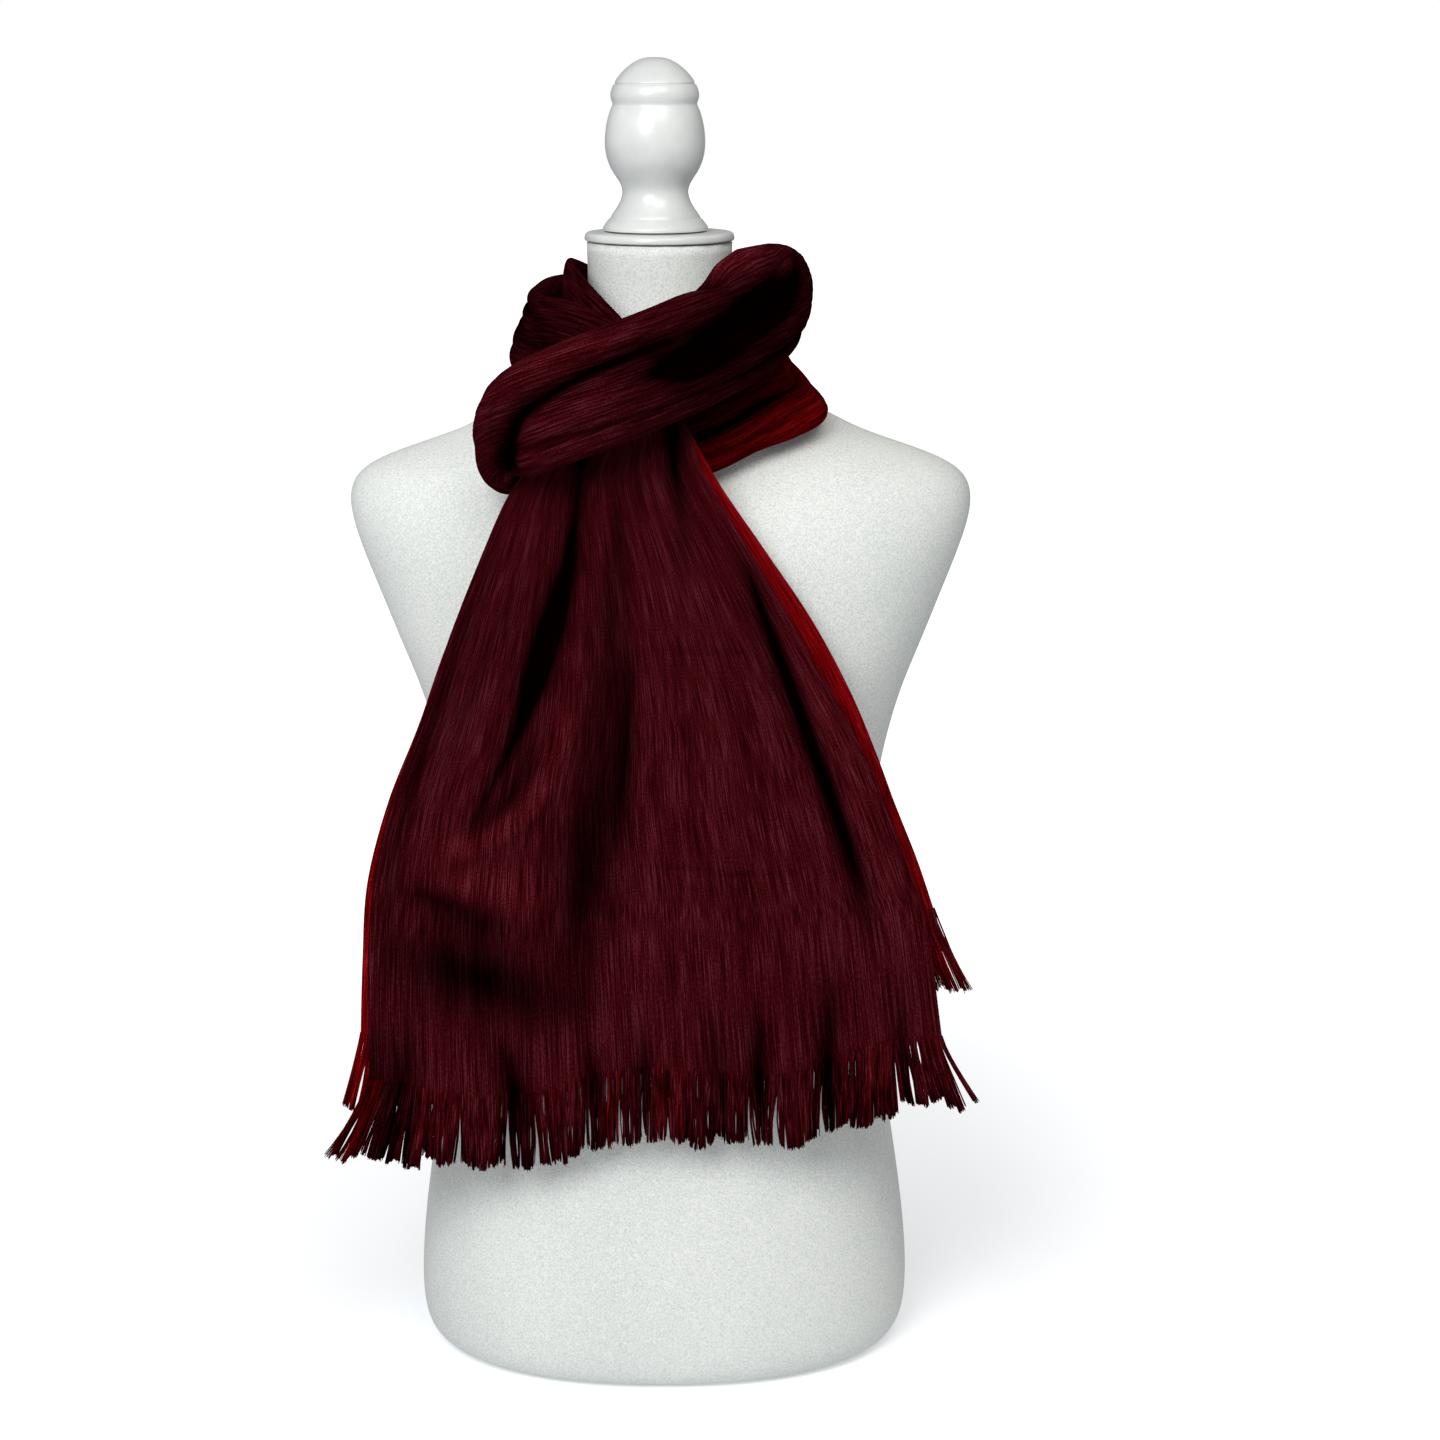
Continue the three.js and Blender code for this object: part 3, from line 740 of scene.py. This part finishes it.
def bunched_band(name, sections, folds, shades, rows, columns, gather, finishes, turned_rows=0):
    """A length of bunched cloth: an oval shell, open along its hidden inner side, with its main
    folds where the tables put them and fine gathers between them."""
    band = table(SECTION_COLUMNS, sections)
    place = np.linspace(0, len(sections) - 1, rows + 1)
    row, middle, outward, upward = band_frames(band, place[:, None])
    side = np.linspace(-1, 1, columns + 1)[None, :]
    reach = math.pi - math.radians(SLIT_HALF_ANGLE)
    turn = reach * np.sign(side) * np.abs(side) ** SECTION_CROWDING
    height = (row["wide"] * power_wave(np.sin(turn)))[..., None]
    depth = (row["thick"] * power_wave(np.cos(turn)))[..., None]
    grid = middle + outward * depth + upward * height

    girth = np.linalg.norm(np.diff(grid, axis=1), axis=-1).cumsum(axis=1)
    girth = np.pad(girth, ((0, 0), (1, 0)))
    girth = girth - girth[:, columns // 2, None]
    quarter = girth[:, np.abs(turn[0] - math.pi / 2).argmin()]
    steps = np.linalg.norm(np.diff(middle[:, 0], axis=0), axis=-1)
    length = np.concatenate([[0], steps.cumsum()])

    paths = []
    for rows_of_fold in folds.values():
        fold = table(BAND_FOLD_COLUMNS, rows_of_fold)
        along = np.interp(fold["row"], place, length)
        across = fold["across"] * np.interp(fold["row"], place, quarter)
        paths.append(np.stack([along, across, fold["depth"], fold["width"]], -1))
    # Folds and gathers fade out just past the band's edges, towards its hidden side
    fade = 0.6
    facing = np.clip(1 + fade - np.abs(girth) / quarter[:, None], 0, fade) / fade
    sink = fold_depth(paths, length[:, None], girth) * facing
    fine_share = 0.25
    raised = gather * gathers(girth, length[:, None], *BAND_GATHERS)
    raised = raised + fine_share * gather * gathers(girth, length[:, None], *FINE_BAND_GATHERS)
    raised = raised * np.interp(place, COLLAR_SECTIONS, COLLAR_GATHER)[:, None]
    grid = grid + grid_normals(grid) * (raised * facing - sink)[..., None]
    # Painted shade: darker along the bunched rows and in the folds, painted lighter on ridges and on the
    # backs of the gathers
    bunched = np.interp(place, *np.transpose(shades))[:, None]
    painted_light_on_backs = 0.08
    shade = np.clip(bunched + sink / FULL_SHADE_BAND_FOLD - raised / gather * painted_light_on_backs, 0, 1)
    return cloth_wall(name, grid, girth, length[:, None], shade, finishes, turned_rows)


def tail_grid(rows_of_tail, folds, rows, columns, gather, bunched):
    """The middle of a hanging end, from its hem up to the knot, and its painted shade, which deepens
    with its folds. bunched is the painted shade of its flat stretches."""
    tail = table(TAIL_COLUMNS, rows_of_tail)
    across = np.linspace(0, 1, columns + 1)[None, :]
    along = np.linspace(0, 1, rows + 1)[:, None]
    row = row_at(tail, along * (len(rows_of_tail) - 1))
    x = row["left_x"] + across * (row["right_x"] - row["left_x"])
    near_hem = (1 - along) ** 5
    dip = HEM_DIP * np.sin(HEM_DIPS * math.pi * across) ** 2 * near_hem
    z = row["left_z"] + across * (row["right_z"] - row["left_z"]) - dip
    y = -row["forward"] + row["fall_back"] * (2 * across - 1) ** 2
    paths = []
    for rows_of_fold in folds.values():
        fold = table(TAIL_FOLD_COLUMNS, rows_of_fold)
        paths.append(np.stack([fold[name] for name in TAIL_FOLD_COLUMNS.split()], -1))
    sink = fold_depth(paths, z, x)
    cloth_x = across * CLOTH_WIDTH
    cloth_z = along * np.ptp(tail["left_z"])
    near_knot = along**1.5
    spread = gathers(cloth_x, cloth_z, *TAIL_GATHERS) * (0.5 + 1.6 * near_knot)
    spread = spread + gathers(cloth_x, cloth_z, *FINE_TAIL_GATHERS) * (0.3 + 0.7 * near_knot)
    y = y + sink - gather * spread
    # Painted shade: darker in the folds and, where the flat stretches are shaded, lighter on the ridges
    shade = np.clip(bunched + sink / FULL_SHADE_TAIL_FOLD, 0, 1)
    return np.stack([x, y, z], -1), cloth_x, cloth_z, shade


def fringe(name, hem, hem_shade, cloth_x, strands, seed, corner_flares, red_share, finishes):
    """Loose warp yarns under a hem, in small locks within uneven clumps that lean, pinch and
    spread. They are closer at the two corners, where they fan out, and carry the painted shade of
    the hem's folds at their roots. A share of the strands, and all at the left corner, show their red side."""
    red_corner = 0.025
    chance = np.random.default_rng(seed)
    across = (np.arange(strands) + chance.uniform(0.2, 0.8, strands)) / strands
    across = across - 0.06 * np.sin(2 * math.pi * across)
    at = across * (len(hem) - 1)
    root = np.stack([np.interp(at, np.arange(len(hem)), hem[:, axis]) for axis in range(3)], -1)

    def bunches(narrowest, widest):
        """The bunch that each strand is in and how far the strand is from its middle."""
        edges = np.cumsum(chance.uniform(narrowest, widest, math.ceil(CLOTH_WIDTH / narrowest)))
        bunch = np.searchsorted(edges, across * CLOTH_WIDTH)
        middle = np.bincount(bunch, root[:, 0]) / np.maximum(np.bincount(bunch), 1)
        return bunch, root[:, 0] - middle[bunch]

    def uneven(bunch, spread):
        """A chance value for each strand that its whole bunch shares."""
        return chance.normal(0, spread, bunch.max() + 1)[bunch]

    clump, from_clump = bunches(*CLUMP_WIDTHS)
    lock, from_lock = bunches(*LOCK_WIDTHS)
    single = np.arange(strands)
    reach = FRINGE_LENGTH * (1.04 + uneven(clump, 0.05) + uneven(lock, 0.03) + uneven(single, 0.015))
    reach = reach - np.minimum(0.05 * from_clump**2, 4)
    down = np.linspace(0, 1, YARN_RINGS)[None, :]
    clump_pull = chance.uniform(0, 0.2, clump.max() + 1)[clump]
    lock_pull = chance.uniform(-0.1, 0.35, lock.max() + 1)[lock]
    flare = np.where(across < 0.5, *corner_flares) * (2 * across - 1) ** 7
    lean = uneven(clump, 1.4) + uneven(lock, 0.4) + uneven(single, 0.35)
    x = root[:, 0, None] - np.outer(clump_pull * from_clump, down**1.7)
    x = x - np.outer(lock_pull * from_lock, down**2) + np.outer(flare, down**1.2)
    x = x + np.outer(lean, down**1.5) + np.outer(uneven(lock, 0.4), np.sin(2.2 * math.pi * down))
    forward = 2 * uneven(clump, 1.2) + uneven(lock, 1) + uneven(single, 0.5)
    layer = chance.uniform(-0.8, 0.8, strands)
    y = (root[:, 1] + layer)[:, None] - np.outer(forward, down**1.5)
    z = root[:, 2, None] + YARN_OVERLAP - (reach[:, None] + YARN_OVERLAP) * down
    radius = YARN_RADIUS * (1 - 0.35 * down**3)
    spine = np.stack([x, y, z], -1)
    sides = np.array([[1, 0, 0], [0, 1, 0], [-1, 0, 0], [0, -1, 0]], float)
    points = spine[:, :, None] + radius[..., None, None] * sides
    index = np.arange(strands * YARN_RINGS * 4).reshape(strands, YARN_RINGS, 4)
    beside = np.roll(index, -1, axis=2)
    wall = np.stack([index[:, 1:], beside[:, 1:], beside[:, :-1], index[:, :-1]], -1)
    caps = np.concatenate([index[:, 0], index[:, -1, ::-1]])
    faces = np.concatenate([wall.reshape(-1, 4), caps])
    cloth_at = np.interp(at, np.arange(len(hem)), cloth_x)
    flat = np.stack(np.broadcast_arrays(cloth_at[:, None], -reach[:, None] * down), -1)
    flat = np.repeat(flat.reshape(-1, 2), 4, axis=0)
    # Painted shade: the roots carry the hem's painted shade, which fades down the yarns, and each lock and
    # yarn adds its own darker or lighter tone at random
    root_shade = np.interp(at, np.arange(len(hem)), hem_shade)
    own_shade = 0.16 + uneven(lock, 0.2) + uneven(single, 0.2)
    shade = np.outer(root_shade, 1 - 0.4 * down) + np.outer(own_shade, 0.2 + 0.8 * down)
    fold = np.repeat(np.clip(shade, 0, 1).ravel(), 4)
    red = (chance.uniform(0, 1, strands) < red_share) | (across < red_corner)
    finish_of_face = np.concatenate([np.repeat(red, (YARN_RINGS - 1) * 4), red, red]).astype(int)
    piece = new_piece(name, points.reshape(-1, 3), faces, flat, fold, finishes, finish_of_face)
    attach(piece, "root")
    return piece


def linear(code):
    """The linear colour of an sRGB hex value."""
    parts = [int(code[start : start + 2], 16) / 255 for start in (1, 3, 5)]
    return [part / 12.92 if part <= 0.04045 else ((part + 0.055) / 1.055) ** 2.4 for part in parts] + [1]


def add(material, kind, inputs=None, **settings):
    """Adds a node, sets its own settings, and sets or links its inputs."""
    made = material.node_tree.nodes.new(kind)
    for name, value in settings.items():
        setattr(made, name, value)
    for socket, value in (inputs or {}).items():
        if isinstance(value, bpy.types.NodeSocket):
            material.node_tree.links.new(value, made.inputs[socket])
        else:
            made.inputs[socket].default_value = value
    return made


def ramp(material, factor, stops):
    """A colour ramp through (place, hex colour) stops."""
    made = add(material, "ShaderNodeValToRGB", {"Fac": factor})
    for place, _ in stops[1:-1]:
        made.color_ramp.elements.new(place)
    for element, (place, code) in zip(made.color_ramp.elements, stops):
        element.position = place
        element.color = linear(code)
    return made.outputs["Color"]


def noise(material, place, scale, detail):
    """Uneven values in space, about scale swings to a metre."""
    inputs = {"Vector": place, "Scale": scale, "Detail": detail}
    return add(material, "ShaderNodeTexNoise", inputs).outputs["Fac"]


def cloth_noise(material, cloth, width, length, detail, roughness=0.5):
    """Uneven values on the flat cloth, their swings a width across its warp and a length along."""
    stretched = add(material, "ShaderNodeMapping", {"Vector": cloth, "Scale": (1 / width, 1 / length, 1)})
    inputs = {"Vector": stretched.outputs["Vector"], "Scale": 1.0, "Detail": detail, "Roughness": roughness}
    return add(material, "ShaderNodeTexNoise", inputs, noise_dimensions="2D").outputs["Fac"]


def add_share(material, value, share, base):
    """A value's share on top of another value."""
    inputs = {0: value, 1: share, 2: base}
    return add(material, "ShaderNodeMath", inputs, operation="MULTIPLY_ADD").outputs[0]


def relief(material, shader, height, strength, distance):
    """Gives a surface its finest relief, which is too small to be shaped."""
    bump = add(material, "ShaderNodeBump", {"Strength": strength, "Distance": distance, "Height": height})
    material.node_tree.links.new(bump.outputs["Normal"], shader.inputs["Normal"])


def new_material(name, roughness):
    """A named material and its surface shader."""
    material = bpy.data.materials.new(name)
    material.use_nodes = True
    shader = material.node_tree.nodes["Principled BSDF"]
    shader.inputs["Roughness"].default_value = roughness
    return material, shader


def woven_cloth(name, stops, painted_shade_tint, sheen, sheen_tint):
    """Space-dyed woven cloth with a brushed nap. Its warp yarns run the length of the scarf, each
    dyed in its own shades, which gives fine lengthwise streaks with a faint crosswise grain. Yarns
    of 0.4 mm are too fine to show, so they are drawn 0.8 mm apart."""
    material, shader = new_material(name, 0.92)
    cloth = add(material, "ShaderNodeUVMap", uv_map="cloth").outputs["UV"]
    streaks = cloth_noise(material, cloth, width=0.0008, length=0.025, detail=2.0, roughness=0.65)
    patches = cloth_noise(material, cloth, width=0.012, length=0.11, detail=2.0)
    picks = cloth_noise(material, cloth, width=0.0014, length=0.001, detail=1.0)
    mixed = add_share(material, patches, 0.3, streaks)
    mixed = add_share(material, picks, 0.3, mixed)
    # The two shares add 0.3 on average, which comes off again
    shade = add(material, "ShaderNodeMath", {0: mixed, 1: 0.3}, operation="SUBTRACT")
    colour = ramp(material, shade.outputs[0], stops)
    # Painted shade: each point's fold attribute darkens the colour towards the painted shade tint
    fold = add(material, "ShaderNodeAttribute", attribute_name="fold").outputs["Fac"]
    # Inputs 6 and 7 and output 2 are the colour sockets of this node
    darker = add(
        material,
        "ShaderNodeMix",
        {"Factor": fold, 6: colour, 7: linear(painted_shade_tint)},
        data_type="RGBA",
        blend_type="MULTIPLY",
    )
    material.node_tree.links.new(darker.outputs[2], shader.inputs["Base Color"])
    height = add_share(material, picks, 0.4, streaks)
    relief(material, shader, height, strength=0.55, distance=0.0006)
    shader.inputs["Sheen Weight"].default_value = sheen
    shader.inputs["Sheen Roughness"].default_value = 0.4
    shader.inputs["Sheen Tint"].default_value = linear(sheen_tint)
    shader.inputs["Specular IOR Level"].default_value = 0.0
    return material


def knitted_jersey():
    """Fine off-white cotton jersey stretched over the form. Stitches of 0.7 mm give a soft salt
    and pepper grain with no gloss."""
    material, shader = new_material("cotton jersey", 0.95)
    place = add(material, "ShaderNodeTexCoord").outputs["Object"]
    grain = noise(material, place, scale=900.0, detail=2.0)
    cloudy = noise(material, place, scale=9.0, detail=2.0)
    mixed = add_share(material, cloudy, 0.25, grain)
    colour = ramp(material, mixed, [(0.42, "#d0d5d3"), (0.6, "#e1e5e2"), (0.75, "#eff1ed")])
    material.node_tree.links.new(colour, shader.inputs["Base Color"])
    relief(material, shader, grain, strength=0.5, distance=0.0005)
    shader.inputs["Specular IOR Level"].default_value = 0.2
    return material


def white_enamel():
    """White enamel brushed on turned wood: a soft gloss with faint waves along the turning."""
    material, shader = new_material("white enamel on wood", 0.3)
    place = add(material, "ShaderNodeTexCoord").outputs["Object"]
    turning = add(material, "ShaderNodeMapping", {"Vector": place, "Scale": (25, 25, 320)})
    waves = noise(material, turning.outputs["Vector"], scale=1.0, detail=2.0)
    cloudy = noise(material, place, scale=40.0, detail=3.0)
    colour = ramp(material, cloudy, [(0.35, "#d5d8d7"), (0.65, "#e1e4e2")])
    material.node_tree.links.new(colour, shader.inputs["Base Color"])
    relief(material, shader, waves, strength=0.12, distance=0.0004)
    shader.inputs["Coat Weight"].default_value = 0.35
    shader.inputs["Coat Roughness"].default_value = 0.12
    return material


def smooth_form(finish):
    """The jersey-covered body: the solid's own sections, joined into quads and smoothed."""
    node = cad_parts["form_torso"]
    body = bpy.data.objects.new("form_body", node.data.copy())
    bpy.context.collection.objects.link(body)
    select_only(body)
    bpy.ops.object.mode_set(mode="EDIT")
    bpy.ops.mesh.select_all(action="SELECT")
    bpy.ops.mesh.remove_doubles(threshold=0.01 * MM)
    bpy.ops.mesh.tris_convert_to_quads(face_threshold=math.radians(30), shape_threshold=math.radians(80))
    bpy.ops.mesh.select_all(action="DESELECT")
    bpy.ops.mesh.edges_select_sharp(sharpness=math.radians(55))
    bpy.ops.transform.edge_crease(value=0.9)
    bpy.ops.object.mode_set(mode="OBJECT")
    finer = body.modifiers.new("finer", "SUBSURF")
    finer.levels = 2
    finer.render_levels = 2
    bpy.ops.object.modifier_apply(modifier=finer.name)
    bpy.ops.object.shade_smooth_by_angle(angle=math.radians(50))
    body.data.materials.clear()
    body.data.materials.append(finish)
    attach(body, "root")
    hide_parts("form_torso")
    return body


def turned(name, node, profile, centre, foot, finish):
    """A turned piece: a round blank drawn up row by row, as a profile of rise and radius."""
    sides = 64
    (low, start), (high, _) = profile[0], profile[1]
    bpy.ops.object.select_all(action="DESELECT")
    bpy.ops.mesh.primitive_cylinder_add(
        vertices=sides,
        radius=start * MM,
        depth=(high - low) * MM,
        location=(centre * MM, 0, (foot + (low + high) / 2) * MM),
    )
    piece = bpy.context.object
    piece.name = name
    bpy.ops.object.transform_apply(location=True, rotation=True, scale=True)
    top = max(piece.data.polygons, key=lambda face: face.center.z).index
    bpy.ops.object.mode_set(mode="EDIT")
    bpy.ops.mesh.select_all(action="DESELECT")
    bpy.ops.object.mode_set(mode="OBJECT")
    piece.data.polygons[top].select = True
    bpy.ops.object.mode_set(mode="EDIT")
    bpy.ops.mesh.select_mode(type="FACE")
    here = start
    level = low
    for place, (rise, radius) in enumerate(profile[1:]):
        if place:
            bpy.ops.mesh.extrude_region_move(TRANSFORM_OT_translate={"value": (0, 0, (rise - level) * MM)})
        axis = (centre * MM, 0, (foot + rise) * MM)
        bpy.ops.transform.resize(value=(radius / here, radius / here, 1), center_override=axis)
        here = radius
        level = rise
    bpy.ops.object.mode_set(mode="OBJECT")
    finer = piece.modifiers.new("finer", "SUBSURF")
    finer.levels = 2
    finer.render_levels = 2
    bpy.ops.object.modifier_apply(modifier=finer.name)
    bpy.ops.object.shade_smooth_by_angle(angle=math.radians(60))
    piece.data.materials.append(finish)
    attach(piece, "root")
    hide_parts(node)


def place_camera():
    """Stands straight in front of the form, just above the top of its knob, looking down on it."""
    camera = bpy.data.objects.new("camera", bpy.data.cameras.new("camera"))
    camera.data.lens = 70.7
    camera.data.sensor_width = 36
    camera.location = (0.037, -1.75, 0.842)
    below_level = 13.8
    camera.rotation_euler = (math.radians(90 - below_level), 0, 0)
    bpy.context.collection.objects.link(camera)
    bpy.context.scene.camera = camera


def soft_box(name, place, aim, size, power, colour):
    """A large soft light that faces a point."""
    light = bpy.data.lights.new(name, "AREA")
    light.shape = "DISK"
    light.size = size
    light.energy = power
    light.color = linear(colour)[:3]
    lamp = bpy.data.objects.new(name, light)
    lamp.location = place
    direction = np.subtract(aim, place)
    lamp.rotation_euler = (
        math.atan2(math.hypot(direction[0], direction[1]), -direction[2]),
        0,
        math.atan2(-direction[0], direction[1]),
    )
    bpy.context.collection.objects.link(lamp)


def studio():
    """White surroundings with more light from the viewer's left, on a pale floor."""
    white = (1, 1, 1, 1)
    world = bpy.data.worlds.new("studio")
    bpy.context.scene.world = world
    world.use_nodes = True
    lighting = world.node_tree.nodes["Background"]
    lighting.inputs["Strength"].default_value = 0.28
    lighting.inputs["Color"].default_value = white
    seen = add(world, "ShaderNodeBackground", {"Color": white, "Strength": 1.0})
    straight = add(world, "ShaderNodeLightPath").outputs["Is Camera Ray"]
    inputs = {0: straight, 1: lighting.outputs[0], 2: seen.outputs[0]}
    mixed = add(world, "ShaderNodeMixShader", inputs)
    out = world.node_tree.nodes["World Output"]
    world.node_tree.links.new(mixed.outputs[0], out.inputs["Surface"])
    soft_box("key", place=(-0.65, -1.7, 1.7), aim=(0, 0, 0.6), size=1.2, power=30, colour="#ffffff")
    soft_box("fill", place=(0.55, -1.5, 2.15), aim=(0, 0, 0.65), size=1.2, power=14, colour="#fffcf6")
    bpy.ops.object.select_all(action="DESELECT")
    bpy.ops.mesh.primitive_plane_add(size=30)
    floor = bpy.context.object
    floor.name = "floor"
    paper, shader = new_material("white paper", 0.9)
    shader.inputs["Base Color"].default_value = linear("#f2f5f9")
    shader.inputs["Emission Color"].default_value = white
    # The paper has a painted glow, seen only by the camera, so it is evenly white behind the form,
    # as a white studio sweep is; the glow falls away near the foot, where a faint shadow stays
    place = add(paper, "ShaderNodeTexCoord").outputs["Object"]
    away = add(paper, "ShaderNodeVectorMath", {0: place}, operation="LENGTH").outputs["Value"]
    glow = add(
        paper,
        "ShaderNodeMapRange",
        {"Value": away, "From Min": 0.2, "From Max": 1.1, "To Min": 0.4, "To Max": 0.95},
    )
    seen_glow = add(
        paper,
        "ShaderNodeMath",
        {0: glow.outputs["Result"], 1: add(paper, "ShaderNodeLightPath").outputs["Is Camera Ray"]},
        operation="MULTIPLY",
    )
    paper.node_tree.links.new(seen_glow.outputs[0], shader.inputs["Emission Strength"])
    floor.data.materials.append(paper)


def dress_form():
    """The jersey body with its turned and painted neck cap and knob."""
    enamel = white_enamel()
    body = smooth_form(knitted_jersey())
    neck_top = 714.3
    cap = [(-0.3, 45.2), (0.6, 46), (2.4, 46), (4.2, 45.5), (5.2, 44.3), (5.6, 42.6), (5.65, 8)]
    turned("cap", "neck_cap", cap, 0, neck_top, enamel)
    knob = [
        (0, 31.6),
        (0.4, 32.2),
        (2.4, 32.2),
        (3.4, 31.4),
        (7, 28.8),
        (7.8, 27.4),
        (8.6, 27.2),
        (10, 26.6),
        (13.5, 23.8),
        (18, 21.3),
        (21.5, 20.3),
        (24.5, 20),
        (28.5, 21.3),
        (34, 25.2),
        (40.5, 28.7),
        (48.5, 30.6),
        (56.5, 30.6),
        (65, 29.4),
        (71.5, 27.4),
        (74.4, 26),
        (75.6, 25.6),
        (76.8, 25.9),
        (79.4, 27),
        (82.8, 26.9),
        (86.2, 25.5),
        (87.2, 24.9),
        (87.5, 23.9),
        (88, 23.9),
        (88.3, 24.5),
        (91.6, 22.4),
        (96.4, 18),
        (100.4, 12.6),
        (102.6, 7.6),
        (103.2, 3),
    ]
    turned("knob", "finial", knob, -2.4, neck_top + 6, enamel)
    return body


def scarf(body):
    """The two bunched bands round the neck, the two hanging ends and their fringes."""
    face = woven_cloth(
        "brushed wine cloth",
        [
            (0.28, "#240204"),
            (0.40, "#330409"),
            (0.50, "#400910"),
            (0.60, "#4d1119"),
            (0.72, "#5d242e"),
        ],
        painted_shade_tint="#2a0000",
        sheen=0.008,
        sheen_tint="#c05060",
    )
    reverse = woven_cloth(
        "brushed red reverse",
        [
            (0.28, "#3e0104"),
            (0.40, "#5a0206"),
            (0.50, "#720408"),
            (0.60, "#8a060c"),
            (0.74, "#9a1c22"),
        ],
        painted_shade_tint="#1c0406",
        sheen=0.01,
        sheen_tint="#d03030",
    )
    yarn = woven_cloth(
        "loose warp yarn",
        [
            (0.28, "#1c0203"),
            (0.40, "#320409"),
            (0.50, "#440910"),
            (0.60, "#560f18"),
            (0.72, "#6e2833"),
        ],
        painted_shade_tint="#1c0c0e",
        sheen=0.0,
        sheen_tint="#c05060",
    )
    outer = bunched_band(
        "wine_band",
        OUTER_BAND,
        OUTER_BAND_FOLDS,
        OUTER_BAND_SHADE,
        rows=230,
        columns=190,
        gather=0.45,
        finishes=[face, reverse],
    )
    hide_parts("loop_front", "collar_left_outer", "neck_back_upper")
    # The inner strand is given half a twist behind the neck, so its wine face shows on the left
    inner = bunched_band(
        "red_band",
        INNER_BAND,
        INNER_BAND_FOLDS,
        INNER_BAND_SHADE,
        rows=170,
        columns=110,
        gather=0.35,
        finishes=[reverse, face],
        turned_rows=66,
    )
    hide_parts("loop_under", "collar_left_inner", "neck_back_lower")

    front, cloth_x, cloth_z, shade = tail_grid(
        FRONT_TAIL, FRONT_TAIL_FOLDS, rows=190, columns=240, gather=0.45, bunched=0.2
    )
    front_end = cloth_wall("front_end", front, cloth_x, cloth_z, shade, [face, reverse])
    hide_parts("tail_front")
    front_fringe = fringe(
        "front_yarns",
        front[0],
        shade[0],
        cloth_x[0],
        strands=3400,
        seed=11,
        corner_flares=(28, 22),
        red_share=0.04,
        finishes=[yarn, reverse],
    )
    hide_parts("fringe_front")

    rear, cloth_x, cloth_z, shade = tail_grid(
        REAR_TAIL, REAR_TAIL_FOLDS, rows=130, columns=130, gather=0.3, bunched=0
    )
    rear_end = cloth_wall("rear_end", rear, cloth_x, cloth_z, shade, [reverse, face])
    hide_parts("tail_rear")
    rear_fringe = fringe(
        "rear_yarns",
        rear[0],
        shade[0],
        cloth_x[0],
        strands=2000,
        seed=23,
        corner_flares=(14, 24),
        red_share=0.35,
        finishes=[yarn, reverse],
    )
    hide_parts("fringe_rear")


bpy.context.scene.view_settings.view_transform = "Standard"
place_camera()
studio()
scarf(dress_form())
